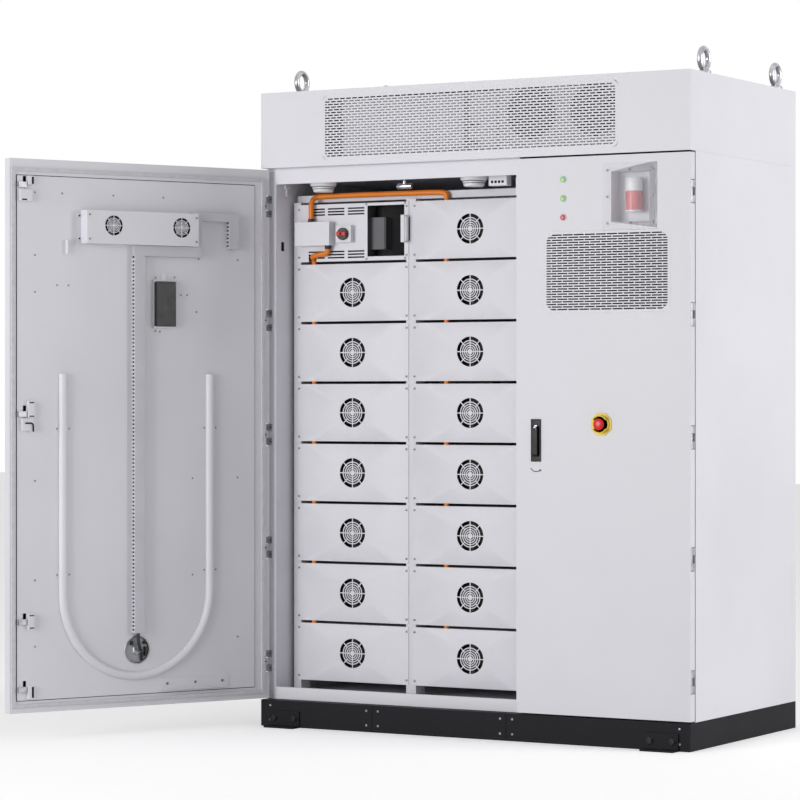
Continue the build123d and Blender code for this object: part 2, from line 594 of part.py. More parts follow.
for number, fan_x in enumerate(HEADER_FAN_XS, 1):
    seat = front(CONDENSER_FRONT + HEADER_FAN_ROOM - ROTOR_GAP)
    place = Plane(seat.from_local_coords((fan_x, HEADER_FAN_Z, 0)), seat.x_dir, seat.z_dir)
    fan_rotor(f"header_fan_{number}", place, HEADER_FAN_R - ROTOR_TIP_GAP, 34.0, blades=7)


# Equipment behind the right door: a mounting plate with the converter, breakers and terminals
PLATE_X = (ROOMS[1][0] + 30, ROOMS[1][1] - 30)
EQUIP_BACK = DEPTH - BACK_WALL
with BuildPart() as power_equipment:
    with BuildSketch(front(EQUIP_BACK - 60)):
        upright_rectangles((PLATE_X,), (ROOM_Z[0] + 60, ROOM_Z[1] - 60))
    extrude(amount=-4)
    with BuildSketch(front(EQUIP_BACK - 56)):
        for z in (ROOM_Z[0] + 100, ROOM_Z[1] - 100):
            upright_rectangles((PLATE_X,), (z - 20, z + 20))
    extrude(amount=-56)
    # power converter with its cooling fins
    with BuildSketch(front(EQUIP_BACK - 60)):
        with Locations((middle(PLATE_X), 700)):
            Rectangle(440, 620)
    extrude(amount=170)
    with BuildSketch(front(EQUIP_BACK - 230)):
        with Locations((middle(PLATE_X), 700)):
            with GridLocations(44, 0, 9, 1):
                Rectangle(8, 560)
    extrude(amount=45)
    # moulded-case breakers and the row of control modules
    with BuildSketch(front(EQUIP_BACK - 60)):
        with Locations((middle(PLATE_X), 1230)):
            with GridLocations(160, 0, 3, 1):
                Rectangle(105, 165)
    extrude(amount=86)
    with BuildSketch(front(EQUIP_BACK - 60)):
        with Locations((middle(PLATE_X), 1520)):
            Rectangle(440, 90)
    extrude(amount=70)
keep(power_equipment, "power_equipment")


# Frame halves of the hinges, with their fixed pins
def hinge_leaf(door, knuckles, folded_to, flange_from, flange_to, bore=0.0):
    """Adds one door's leaves: knuckles round the axis, a web into the cabinet and a flange at its end.

    The web starts at the distance flange_from, and its flange lies just before the depth folded_to.
    """
    web = folded_to - HINGE_DEPTH
    for z in HINGE_ZS:
        for low, high in knuckles:
            with BuildSketch(door.level(0, z + low, HINGE_DEPTH)) as section:
                RegularPolygon(KNUCKLE_R, 8, rotation=22.5)
                with Locations((door.x(flange_from + LEAF_T / 2), web / 2)):
                    Rectangle(LEAF_T, web)
                with Locations((door.x((flange_from + flange_to) / 2), web - LEAF_T / 2)):
                    Rectangle(flange_to - flange_from, LEAF_T)
                if bore:
                    Circle(bore, mode=Mode.SUBTRACT)
            extrude(section.sketch, amount=high - low)


OUTER_KNUCKLES = ((-HINGE_H / 2, -HINGE_H / 2 + KNUCKLE_SPLIT), (HINGE_H / 2 - KNUCKLE_SPLIT, HINGE_H / 2))
MIDDLE_KNUCKLE = ((-HINGE_H / 2 + KNUCKLE_SPLIT + KNUCKLE_GAP, HINGE_H / 2 - KNUCKLE_SPLIT - KNUCKLE_GAP),)

with BuildPart() as frame_hinge_leaves:
    for shut_door in (Door("left", 1, 0.0), RIGHT):
        hinge_leaf(shut_door, OUTER_KNUCKLES, FRAME_SETBACK, -KNUCKLE_R, FRAME_FLANGE_END)
        for z in HINGE_ZS:
            with BuildSketch(shut_door.level(0, z - HINGE_H / 2 + PIN_INSET, HINGE_DEPTH)):
                Circle(PIN_R)
            extrude(amount=HINGE_H - 2 * PIN_INSET)
keep(frame_hinge_leaves, "frame_hinge_leaves")


# What both doors are built alike: leaf, seal, hinge halves, handle and latch
def door_span(door, low, high):
    return (min(door.x(low), door.x(high)), max(door.x(low), door.x(high)))


def spindle_x(door):
    return door.free_edge - SPINDLE_FROM_EDGE


def bar_span(door):
    """The rack bar behind its teeth, as distances from the hinge axis."""
    root_line = spindle_x(door) + PITCH_R + ROOT_DEPTH
    return (root_line, root_line + BAR_W)


def add_leaf(door):
    """The leaf: a thick sheet-steel door with a raised inner pan, hinge notches and the lock's channel."""
    border = DOOR_THICK - BORDER_DROP
    with BuildSketch(door.plane()) as outline:
        upright_rectangles((door_span(door, -HINGE_INSET, door.free_edge),), DOOR_Z)
    extrude(outline.sketch, amount=-border)
    with BuildSketch(door.plane(border)) as pan:
        pan_span = door_span(door, PAN_HINGE_BORDER - HINGE_INSET, door.free_edge - PAN_FREE_BORDER)
        upright_rectangles((pan_span,), PAN_Z)
    extrude(pan.sketch, amount=-BORDER_DROP)
    with BuildSketch(door.plane(DOOR_SKIN)) as notches:
        for z in HINGE_ZS:
            notch = door_span(door, -HINGE_INSET, HINGE_NOTCH_W - HINGE_INSET)
            upright_rectangles((notch,), (z - HINGE_H / 2 - HINGE_NOTCH_GAP, z + HINGE_H / 2 + HINGE_NOTCH_GAP))
    extrude(notches.sketch, amount=-DOOR_THICK, mode=Mode.SUBTRACT)
    # channel for the rack bar, and the pinion's pocket
    channel_x = door_span(door, spindle_x(door) + PITCH_R - MODULE_MM - 1, bar_span(door)[1] + LATCH_PLAY)
    channel_z = (BAR_Z[0] - LATCH_PLAY, BAR_Z[1] + LATCH_TRAVEL + LATCH_PLAY)
    with BuildSketch(door.plane(BAR_DEPTH - BAR_T / 2 - LATCH_PLAY)) as channel:
        upright_rectangles((channel_x,), channel_z)
        with Locations((door.x(spindle_x(door)), SPINDLE_Z)):
            RegularPolygon(PITCH_R + MODULE_MM + 1, 8, major_radius=False)
    extrude(channel.sketch, amount=-(BAR_T + 2 * LATCH_PLAY), mode=Mode.SUBTRACT)
    with BuildSketch(door.plane(BAR_DEPTH)) as windows:
        window = door_span(door, bar_span(door)[0], bar_span(door)[1] + LATCH_PLAY)
        for z in TONGUE_ZS:
            upright_rectangles((window,), (z - TONGUE_H / 2 - 1, z + TONGUE_H / 2 + LATCH_TRAVEL + 1))
    extrude(windows.sketch, amount=-DOOR_THICK, mode=Mode.SUBTRACT)
    with BuildSketch(door.plane()) as bore:
        with Locations((door.x(spindle_x(door)), SPINDLE_Z)):
            Circle(SPINDLE_R + SPINDLE_PLAY)
    extrude(bore.sketch, amount=-BAR_DEPTH, mode=Mode.SUBTRACT)


def door_seal(door):
    """The foam seal on the border, just short of the front frame when the door is shut."""
    low, high = PAN_HINGE_BORDER - HINGE_INSET - 30 - SEAL_W, door.free_edge - SEAL_INSET
    seal_z = (DOOR_Z[0] + 20, PAN_Z[1] + 27)
    with BuildPart() as seal:
        with BuildSketch(door.plane(DOOR_THICK - BORDER_DROP)):
            upright_rectangles((door_span(door, low, high),), seal_z)
            with Locations((door.x((low + high) / 2), middle(seal_z))):
                Rectangle(high - low - 2 * SEAL_W, length(seal_z) - 2 * SEAL_W, mode=Mode.SUBTRACT)
        extrude(amount=-(FRAME_SETBACK - DOOR_THICK + BORDER_DROP - SEAL_GAP))
    keep(seal, f"{door.name}_door_seal")


def door_hinge_leaves(door):
    """The door's hinge halves: a bored middle knuckle with a flange on the door's border."""
    with BuildPart() as leaves:
        hinge_leaf(door, MIDDLE_KNUCKLE, DOOR_THICK - BORDER_DROP + LEAF_T, KNUCKLE_R - LEAF_T,
                   DOOR_FLANGE_END, PIN_R + PIN_PLAY)
    keep(leaves, f"{door.name}_door_hinge_leaves")


def handle_tray(door):
    """The dished escutcheon plate under the lever."""
    with BuildPart() as tray:
        with BuildSketch(door.plane()):
            with Locations((door.x(spindle_x(door)), TRAY_Z)):
                Rectangle(TRAY_W, TRAY_H)
        extrude(amount=TRAY_T)
        with BuildSketch(door.plane(-TRAY_T)):
            with Locations((door.x(spindle_x(door)), TRAY_Z)):
                Rectangle(TRAY_W - 6, TRAY_H - 6)
        extrude(amount=-2, mode=Mode.SUBTRACT)
        with BuildSketch(door.plane()):
            with Locations((door.x(spindle_x(door)), SPINDLE_Z)):
                Circle(SPINDLE_R + SPINDLE_PLAY)
        extrude(amount=TRAY_T, mode=Mode.SUBTRACT)
    keep(tray, f"{door.name}_handle_tray")


def pinion_outline():
    """Corners of the pinion's teeth, on the involute of its base circle."""
    base_r, tip_r, root_r = PITCH_R * cos(PRESSURE), PITCH_R + TIP_HEIGHT, PITCH_R - ROOT_DEPTH
    half_tooth = pi / 2 / PINION_TEETH - BACKLASH / PITCH_R / 2 + tan(PRESSURE) - PRESSURE
    flank = []
    for r in (root_r, (base_r + tip_r) / 2, tip_r):
        roll = (max(r, base_r) ** 2 / base_r ** 2 - 1) ** 0.5
        flank.append((r, half_tooth - roll + atan(roll)))
    points = []
    for tooth in range(PINION_TEETH):
        centre = 2 * pi * tooth / PINION_TEETH
        points += [(r * cos(centre - a), r * sin(centre - a)) for r, a in flank]
        points += [(r * cos(centre + a), r * sin(centre + a)) for r, a in reversed(flank)]
    return points


def handle_spindle(door):
    """The spindle: a bored tang for the lever in front, and the pinion that drives the rack bar."""
    x = door.x(spindle_x(door))
    with BuildPart() as spindle:
        with BuildSketch(door.plane(-TRAY_T - LEVER_GAP / 2)):
            with Locations((x, SPINDLE_Z)):
                Circle(SPINDLE_R)
        extrude(amount=-(TRAY_T + LEVER_GAP / 2 + BAR_DEPTH - BAR_T / 2))
        with BuildSketch(door.plane(BAR_DEPTH - BAR_T / 2)):
            with Locations(Location((x, SPINDLE_Z), 90 - 90 * door.side)):
                Polygon(*pinion_outline(), align=None)
        extrude(amount=-BAR_T)
        with BuildSketch(lever_plane(door, -TANG_W / 2)):
            Circle(LEVER_T / 2)
            with Locations((-LEVER_T / 4 - LEVER_GAP, 0)):
                Rectangle(LEVER_T / 2 + 2 * LEVER_GAP, LEVER_T)
            Circle(CROSS_PIN_R + PIN_PLAY, mode=Mode.SUBTRACT)
        extrude(amount=TANG_W)
    keep(spindle, f"{door.name}_handle_spindle")


def lever_plane(door, offset):
    """Plane across the lever's cross pin: its x points out of the door, its y points down."""
    centre = (door.x(spindle_x(door)), SPINDLE_Z, TRAY_T + LEVER_GAP + LEVER_T / 2)
    return Plane(door.plane().from_local_coords(centre), door.out, door.x_dir).offset(offset)


def handle_lever(door):
    """The lever: a forked head on its cross pin and a long grip lying over the tray."""
    half = LEVER_T / 2
    with BuildPart() as lever:
        with BuildSketch(lever_plane(door, -LEVER_W / 2)):
            Circle(half)
            with BuildLine():
                Polyline((-half, 0), (half, 0), (half, LEVER_REACH - 8), (half - 4, LEVER_REACH),
                         (-half, LEVER_REACH), close=True)
            make_face()
        extrude(amount=LEVER_W)
        with BuildSketch(door.plane(-TRAY_T)):
            with Locations((door.x(spindle_x(door)), SPINDLE_Z)):
                Rectangle(TANG_W + 2 * LATCH_PLAY, LEVER_T + 3)
        extrude(amount=LEVER_T + 2 * LEVER_GAP, mode=Mode.SUBTRACT)
        with BuildSketch(lever_plane(door, -LEVER_W / 2)):
            Circle(CROSS_PIN_R)
        extrude(amount=LEVER_W)
    keep(lever, f"{door.name}_handle_lever")


def latch_bar(door):
    """The rack bar inside the door, with tongues that stand out through the pan and end in claws."""
    bar_low, bar_high = bar_span(door)
    tip = spindle_x(door) + PITCH_R - TIP_HEIGHT
    half_root = MODULE_MM * pi / 4 - BACKLASH / 2 + ROOT_DEPTH * tan(PRESSURE)
    half_tip = MODULE_MM * pi / 4 - BACKLASH / 2 - TIP_HEIGHT * tan(PRESSURE)
    with BuildPart() as bar:
        with BuildSketch(door.plane(BAR_DEPTH - BAR_T / 2)):
            upright_rectangles((door_span(door, bar_low, bar_high),), BAR_Z)
            for number in range(-RACK_TEETH, RACK_TEETH // 2):
                z = SPINDLE_Z + (number + 0.5) * MODULE_MM * pi
                with BuildLine():
                    Polyline((door.x(bar_low), z - half_root), (door.x(tip), z - half_tip),
                             (door.x(tip), z + half_tip), (door.x(bar_low), z + half_root), close=True)
                make_face()
        extrude(amount=-BAR_T)
        tongue = door_span(door, bar_low + 1, bar_high)
        with BuildSketch(door.plane(BAR_DEPTH - BAR_T / 2)):
            for z in TONGUE_ZS:
                upright_rectangles((tongue,), (z - TONGUE_H / 2, z + TONGUE_H / 2))
        extrude(amount=-(DOOR_THICK + TONGUE_REACH - BAR_DEPTH + BAR_T / 2))
        with BuildSketch(door.plane(DOOR_THICK + TONGUE_REACH - TONGUE_T)):
            claw = door_span(door, bar_low + 1, door.free_edge - CLAW_FROM_EDGE)
            for z in TONGUE_ZS:
                upright_rectangles((claw,), (z - TONGUE_H / 2, z + TONGUE_H / 2))
        extrude(amount=-TONGUE_T)
    keep(bar, f"{door.name}_latch_bar")


for door in DOORS:
    door_seal(door)
    door_hinge_leaves(door)
    handle_tray(door)
    handle_spindle(door)
    handle_lever(door)
    latch_bar(door)


# The left door's leaf, with the cable hole, the stay rail and a small bracket on its pan
with BuildPart() as left_door:
    add_leaf(LEFT)
    with BuildSketch(LEFT.plane(DOOR_THICK)):
        with Locations((CABLE_HOLE_X, CABLE_HOLE_Z)):
            Circle(CABLE_HOLE_R)
    extrude(amount=CABLE_HOLE_D, mode=Mode.SUBTRACT)
    with BuildSketch(LEFT.plane(DOOR_THICK)):
        upright_rectangles((STAY_X,), STAY_Z)
    extrude(amount=-STAY_T)
    with BuildSketch(LEFT.plane(DOOR_THICK)):
        upright_rectangles((STAY_X,), (STAY_Z[0], STAY_Z[0] + STAY_T))
        upright_rectangles((BRACKET_X,), BRACKET_Z)
    extrude(amount=-STAY_LIP)
keep(left_door, "left_door")


# The fan box on the left door: a folded case with two guards
with BuildPart() as door_fan_box:
    with BuildSketch(LEFT.plane(DOOR_THICK)):
        upright_rectangles((FAN_BOX_X,), FAN_BOX_Z)
    extrude(amount=-FAN_BOX_D)
    with BuildSketch(LEFT.plane(DOOR_THICK)):
        with Locations(*[(x, DOOR_FAN_Z) for x in DOOR_FAN_XS]):
            RegularPolygon(DOOR_FAN_R + 2, GUARD_SIDES, major_radius=False)
    extrude(amount=-(FAN_BOX_D - FAN_BOX_SHEET), mode=Mode.SUBTRACT)
    with BuildSketch(LEFT.plane(DOOR_THICK + FAN_BOX_D - FAN_BOX_SHEET)):
        for x in DOOR_FAN_XS:
            guard_openings(x, DOOR_FAN_Z, DOOR_GUARD_HUB, DOOR_FAN_R)
    extrude(amount=-FAN_BOX_SHEET, mode=Mode.SUBTRACT)
keep(door_fan_box, "door_fan_box")

for number, fan_x in enumerate(DOOR_FAN_XS, 1):
    seat = LEFT.plane(DOOR_THICK + ROTOR_GAP)
    facing_in = Plane(seat.from_local_coords((fan_x, DOOR_FAN_Z, 0)), seat.x_dir, -seat.z_dir)
    fan_rotor(f"door_fan_{number}", facing_in, DOOR_FAN_R - ROTOR_TIP_GAP, 20.0)


# Slotted cable duct on the left door, from the cable hole up and round the fan box
DUCT_SLOTS = 14
with BuildPart() as door_cable_duct:
    with BuildSketch(LEFT.plane(DOOR_THICK)):
        upright_rectangles((MAIN_DUCT_X,), (MAIN_DUCT_Z[0], UNDER_DUCT_Z[1]))
        upright_rectangles(((SIDE_DUCT_X[0], MAIN_DUCT_X[1]),), UNDER_DUCT_Z)
        upright_rectangles((SIDE_DUCT_X,), (UNDER_DUCT_Z[0], SIDE_DUCT_TOP))
        upright_rectangles(((SHORT_DUCT_X[0], SIDE_DUCT_X[1]),), UPPER_DUCT_Z)
        upright_rectangles((SHORT_DUCT_X,), (SHORT_DUCT_LOW, UPPER_DUCT_Z[1]))
    extrude(amount=-DUCT_D)
    # wire slots through the duct's free-edge side
    slot_pitch = length(MAIN_DUCT_Z) / DUCT_SLOTS
    with BuildSketch(LEFT.plane(DOOR_THICK + DUCT_D)):
        with Locations((MAIN_DUCT_X[1], middle(MAIN_DUCT_Z))):
            with GridLocations(0, slot_pitch, 1, DUCT_SLOTS - 1):
                Rectangle(6, slot_pitch / 2)
    extrude(amount=DUCT_D - 6, mode=Mode.SUBTRACT)
keep(door_cable_duct, "door_cable_duct")


# The U-shaped half-round conduit on the left door
with BuildPart() as door_u_conduit:
    inner = LEFT.plane(DOOR_THICK)
    with BuildLine(inner) as route:
        down = Line((U_X - U_R, U_TOP), (U_X - U_R, U_Z))
        bend = CenterArc((U_X, U_Z), U_R, 180, 180)
        Line(bend @ 1, (U_X + U_R, U_TOP))
    start = inner.from_local_coords((U_X - U_R, U_TOP, 0))
    with BuildSketch(Plane(start, inner.x_dir, (0, 0, 1))):
        RegularPolygon(U_TUBE_R, 8)
        with Locations((0, -U_TUBE_R)):
            Rectangle(2 * U_TUBE_R, 2 * U_TUBE_R, mode=Mode.SUBTRACT)
    sweep(path=route.line)
keep(door_u_conduit, "door_u_conduit")


# The control module on the left door: a box in a raised rim, with a hanging tab
with BuildPart() as door_control_module:
    with BuildSketch(LEFT.plane(DOOR_THICK)):
        upright_rectangles((CONTROL_X,), CONTROL_Z)
    extrude(amount=-CONTROL_D)
    with BuildSketch(LEFT.plane(DOOR_THICK + CONTROL_D)):
        upright_rectangles(((CONTROL_X[0] + 4, CONTROL_X[1] - 4),), (CONTROL_Z[0] + 6, CONTROL_Z[1] - 6))
    extrude(amount=2, mode=Mode.SUBTRACT)
    with BuildSketch(LEFT.plane(DOOR_THICK)):
        upright_rectangles(((middle(CONTROL_X) - 9, middle(CONTROL_X) + 9),), (CONTROL_Z[1], CONTROL_Z[1] + 26))
    extrude(amount=-3)
keep(door_control_module, "door_control_module")


# The right door's leaf, with its openings for lamps, stop button, alarm well and grille
with BuildPart() as right_door:
    add_leaf(RIGHT)
    with BuildSketch(front(DOOR_THICK)):
        with Locations((ALARM_X, ALARM_Z)):
            Rectangle(ALARM_W + 2 * ALARM_WALL, ALARM_H + 2 * ALARM_WALL)
    extrude(amount=-(ALARM_ROOM + ALARM_WALL - DOOR_THICK))
    with BuildSketch(front()):
        with Locations((ALARM_X, ALARM_Z)):
            Rectangle(ALARM_W, ALARM_H)
    extrude(amount=-ALARM_ROOM, mode=Mode.SUBTRACT)
    with BuildSketch(front()):
        with Locations((DOOR_GRILLE_X, DOOR_GRILLE_Z)):
            RectangleRounded(DOOR_GRILLE_W + 2 * GRILLE_FRAME, DOOR_GRILLE_H + 2 * GRILLE_FRAME, GRILLE_CORNER)
    extrude(amount=-GRILLE_T, mode=Mode.SUBTRACT)
    with BuildSketch(front()):
        with Locations((DOOR_GRILLE_X, DOOR_GRILLE_Z)):
            Rectangle(DOOR_GRILLE_W, DOOR_GRILLE_H)
        with Locations((ESTOP_X, ESTOP_Z)):
            RegularPolygon(ESTOP_BODY_R, 12)
        with Locations(*[(LAMP_X, z) for z in LAMP_ZS]):
            RegularPolygon(LAMP_R, 12)
    extrude(amount=-DOOR_THICK, mode=Mode.SUBTRACT)
keep(right_door, "right_door")


def turned(points, x, z):
    """Revolves an outline of (radius, depth) corners about a line into the door, at X and Z."""
    corners = [(radius, depth - DEPTH / 2) for radius, depth in points]
    with BuildSketch(Plane((x, 0, z))) as section:
        Polygon(*corners, align=None)
    revolve(section.sketch, axis=Axis((x, 0, z), (0, 1, 0)))


# Three pilot lamps: a domed lens, a bezel and the body behind the door
with BuildPart() as indicator_lamps:
    for z in LAMP_ZS:
        with BuildSketch(front()):
            with Locations((LAMP_X, z)):
                RegularPolygon(LAMP_R, 12)
        extrude(amount=-46)
        for radius, height in ((LAMP_R + 1.2, 3), (LAMP_R - 1, 8)):
            with BuildSketch(front()):
                with Locations((LAMP_X, z)):
                    RegularPolygon(radius, 12)
            extrude(amount=height)
    chamfer(indicator_lamps.edges().group_by(Axis.Y)[0], 3)
keep(indicator_lamps, "indicator_lamps")


# The stop button's guard: a plate with a notched collar, and the contact block behind the door
GUARD_R, COLLAR_R, COLLAR_H, BLOCK_END, BORE_END = 38.5, 31.0, 20.0, 58.0, 30.0
GUARD_PLATE_T, COLLAR_T = 3.0, 4.0
with BuildPart() as estop_guard:
    with BuildSketch(front()):
        with Locations((ESTOP_X, ESTOP_Z)):
            RegularPolygon(GUARD_R, 8, major_radius=False, rotation=22.5)
    extrude(amount=GUARD_PLATE_T)
    with BuildSketch(front(-GUARD_PLATE_T)):
        with Locations((ESTOP_X, ESTOP_Z)):
            RegularPolygon(COLLAR_R, 20)
            RegularPolygon(COLLAR_R - COLLAR_T, 20, mode=Mode.SUBTRACT)
    extrude(amount=COLLAR_H - GUARD_PLATE_T)
    with BuildSketch(front()):
        with Locations((ESTOP_X, ESTOP_Z)):
            RegularPolygon(ESTOP_BODY_R, 12)
    extrude(amount=-BLOCK_END)
    with BuildSketch(front(-GUARD_PLATE_T)):
        with Locations((ESTOP_X, ESTOP_Z)):
            Circle(ESTOP_STEM_R + ESTOP_PLAY)
    extrude(amount=-(GUARD_PLATE_T + BORE_END), mode=Mode.SUBTRACT)
    # the collar is open towards the door's free edge
    with BuildSketch(front(-GUARD_PLATE_T)):
        with Locations((ESTOP_X - COLLAR_R, ESTOP_Z)):
            Rectangle(18, 30)
    extrude(amount=COLLAR_H, mode=Mode.SUBTRACT)
keep(estop_guard, "estop_guard")

# The stop button: a stem that is pressed in, and the mushroom cap that turns on it to let go
CAP_BACK, CAP_FRONT, SOCKET, END_GAP = -12.0, -31.0, -24.0, 0.3
with BuildPart() as estop_stem:
    stem_end = BORE_END - ESTOP_TRAVEL - 1
    turned(((0, SOCKET + END_GAP), (ESTOP_NECK_R, SOCKET + END_GAP), (ESTOP_NECK_R, CAP_BACK + END_GAP),
            (ESTOP_STEM_R, CAP_BACK + END_GAP), (ESTOP_STEM_R, stem_end), (0, stem_end)), ESTOP_X, ESTOP_Z)
keep(estop_stem, "estop_stem")

with BuildPart() as estop_cap:
    with BuildSketch(front(CAP_BACK)):
        with Locations((ESTOP_X, ESTOP_Z)):
            RegularPolygon(ESTOP_HEAD_R, 16)
    extrude(amount=CAP_BACK - CAP_FRONT)
    chamfer(estop_cap.edges().group_by(Axis.Y)[0], 6)
    chamfer(estop_cap.edges().group_by(Axis.Y)[-1], 8)
    with BuildSketch(front(CAP_BACK)):
        with Locations((ESTOP_X, ESTOP_Z)):
            Circle(ESTOP_NECK_R + ESTOP_PLAY)
    extrude(amount=CAP_BACK - SOCKET, mode=Mode.SUBTRACT)
keep(estop_cap, "estop_cap")


# The alarm strobe in its well, on a bracket from the well's back
with BuildPart() as alarm_strobe:
    with BuildSketch(Plane((ALARM_X, -DEPTH / 2 + STROBE_DEPTH, ALARM_Z - STROBE_H / 2 + 7))):
        RegularPolygon(STROBE_R, 16, major_radius=False)
    extrude(amount=STROBE_H)
    with BuildSketch(front(ALARM_ROOM)):
        with Locations((ALARM_X, ALARM_Z + 7)):
            Rectangle(20, 60)
    extrude(amount=ALARM_ROOM - STROBE_DEPTH - 5)
keep(alarm_strobe, "alarm_strobe")

# The clear cover screwed over the alarm well
with BuildPart() as alarm_window:
    with BuildSketch(front()):
        with Locations((ALARM_X, ALARM_Z)):
            Rectangle(WINDOW_W, WINDOW_H)
    extrude(amount=WINDOW_T)
keep(alarm_window, "alarm_window")
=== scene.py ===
import math

import bmesh
import bpy
from mathutils import Matrix, Vector


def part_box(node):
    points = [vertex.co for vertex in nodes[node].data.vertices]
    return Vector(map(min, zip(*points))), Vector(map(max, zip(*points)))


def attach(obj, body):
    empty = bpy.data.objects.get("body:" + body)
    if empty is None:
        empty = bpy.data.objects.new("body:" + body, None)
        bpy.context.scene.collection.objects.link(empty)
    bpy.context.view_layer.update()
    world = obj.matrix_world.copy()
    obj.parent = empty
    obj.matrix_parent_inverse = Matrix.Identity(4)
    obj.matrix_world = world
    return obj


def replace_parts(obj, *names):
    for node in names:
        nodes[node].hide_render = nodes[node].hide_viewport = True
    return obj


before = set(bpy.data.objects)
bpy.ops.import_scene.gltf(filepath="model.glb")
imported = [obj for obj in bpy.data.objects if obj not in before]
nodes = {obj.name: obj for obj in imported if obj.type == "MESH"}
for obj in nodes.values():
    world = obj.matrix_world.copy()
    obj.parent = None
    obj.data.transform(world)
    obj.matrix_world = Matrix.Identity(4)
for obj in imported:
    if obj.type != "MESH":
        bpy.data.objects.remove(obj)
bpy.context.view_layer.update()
mm = 0.001


# The plinth is a welded base of folded steel with black powder coat. The cabinet's floor rests on it,
# and cover plates held by countersunk screws close the fork openings between its beams.
def chart(red, green, blue):
    """A paint-chart colour, 0 to 255, as the linear colour that a shader takes."""
    shares = [value / 255 for value in (red, green, blue)]
    return tuple(s / 12.92 if s < 0.04 else ((s + 0.055) / 1.055) ** 2.4 for s in shares) + (1.0,)


def finish(name, light, dark, patch, gloss, grain, depth, **sockets):
    """A material whose tone drifts between two colours, with uneven gloss and a fine surface.
    patch and grain are the widths of the drift and of the surface's texture, in metres."""
    made = bpy.data.materials.new(name)
    made.use_nodes = True
    tree = made.node_tree
    shader = tree.nodes["Principled BSDF"]
    place = tree.nodes.new("ShaderNodeTexCoord")
    drift = tree.nodes.new("ShaderNodeTexNoise")
    drift.inputs["Scale"].default_value = 1 / patch
    drift.inputs["Detail"].default_value = 4
    tone = tree.nodes.new("ShaderNodeValToRGB")
    tone.color_ramp.elements[0].position = 0.3
    tone.color_ramp.elements[0].color = chart(*dark)
    tone.color_ramp.elements[1].position = 0.7
    tone.color_ramp.elements[1].color = chart(*light)
    polish = tree.nodes.new("ShaderNodeMapRange")
    polish.inputs["From Min"].default_value = 0.3
    polish.inputs["From Max"].default_value = 0.7
    polish.inputs["To Min"].default_value = gloss[0]
    polish.inputs["To Max"].default_value = gloss[1]
    texture = tree.nodes.new("ShaderNodeTexNoise")
    texture.inputs["Scale"].default_value = 1 / grain
    texture.inputs["Detail"].default_value = 2
    bump = tree.nodes.new("ShaderNodeBump")
    bump.inputs["Distance"].default_value = depth
    tree.links.new(place.outputs["Object"], drift.inputs["Vector"])
    tree.links.new(place.outputs["Object"], texture.inputs["Vector"])
    tree.links.new(drift.outputs[0], tone.inputs[0])
    tree.links.new(drift.outputs[0], polish.inputs["Value"])
    tree.links.new(tone.outputs["Color"], shader.inputs["Base Color"])
    tree.links.new(polish.outputs["Result"], shader.inputs["Roughness"])
    tree.links.new(texture.outputs[0], bump.inputs["Height"])
    tree.links.new(bump.outputs["Normal"], shader.inputs["Normal"])
    for socket, value in sockets.items():
        shader.inputs[socket.replace("_", " ")].default_value = value
    return made


screw_steel = finish("screw_steel", (150, 150, 156), (104, 104, 110), 0.004, (0.3, 0.45), 0.0006, 0.00003,
                     Metallic=1.0)


def paint_node(material, *names):
    """The carried-over CAD nodes get this material in their own slots."""
    for name in names:
        for slot in nodes[name].material_slots:
            slot.material = material


def only(piece):
    """Leaves this piece alone selected, so that the next operator acts on nothing else."""
    bpy.ops.object.select_all(action="DESELECT")
    piece.select_set(True)
    bpy.context.view_layer.objects.active = piece


def primitive(add, name, **settings):
    """One of Blender's primitives, with its place and turn put into its mesh."""
    bpy.ops.object.select_all(action="DESELECT")
    add(**settings)
    piece = bpy.context.object
    piece.name = name
    bpy.ops.object.transform_apply(location=True, rotation=True, scale=True)
    return piece

def applied(piece, kind, **settings):
    """Adds a modifier to the piece and applies it."""
    only(piece)
    modifier = piece.modifiers.new(kind.title(), kind)
    for setting, value in settings.items():
        setattr(modifier, setting, value)
    bpy.ops.object.modifier_apply(modifier=modifier.name)
    return piece


def settle(piece, body, material=None):
    """Puts the piece's place in its mesh, gives it its finish and hands it to its body."""
    only(piece)
    bpy.ops.object.transform_apply(location=True, rotation=True, scale=True)
    if material:
        piece.data.materials.clear()
        piece.data.materials.append(material)
    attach(piece, body)
    return piece


def merged_copy(node, name, body, material, edge=0.0, segments=2):
    """A copy of a CAD node with its loose triangles merged, its edges rounded and its curves smooth."""
    piece = bpy.data.objects.new(name, nodes[node].data.copy())
    bpy.context.scene.collection.objects.link(piece)
    only(piece)
    bpy.ops.object.mode_set(mode="EDIT")
    bpy.ops.mesh.select_all(action="SELECT")
    bpy.ops.mesh.customdata_custom_splitnormals_clear()
    bpy.ops.mesh.remove_doubles(threshold=0.00001)
    bpy.ops.mesh.dissolve_limited(angle_limit=math.radians(0.5))
    bpy.ops.object.mode_set(mode="OBJECT")
    softened(piece, edge, segments, angle=35)
    settle(piece, body, material)
    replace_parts(piece, node)
    return piece


def block(name, x, y, z, material=None):
    """A box between the limits, as a start."""
    bpy.ops.object.select_all(action="DESELECT")
    bpy.ops.mesh.primitive_cube_add(size=1)
    piece = bpy.context.object
    piece.name = name
    piece.scale = (x[1] - x[0], y[1] - y[0], z[1] - z[0])
    piece.location = ((x[0] + x[1]) / 2, (y[0] + y[1]) / 2, (z[0] + z[1]) / 2)
    bpy.ops.object.transform_apply(location=True, rotation=True, scale=True)
    if material:
        piece.data.materials.append(material)
    return piece


def softened(piece, width, segments=2, angle=40):
    """Rounds the piece's edges and smooths its curves."""
    if width:
        applied(piece, "BEVEL", width=width, segments=segments, limit_method="ANGLE",
                angle_limit=math.radians(40))
    only(piece)
    bpy.ops.object.shade_smooth_by_angle(angle=math.radians(angle))
    return applied(piece, "WEIGHTED_NORMAL", keep_sharp=True)


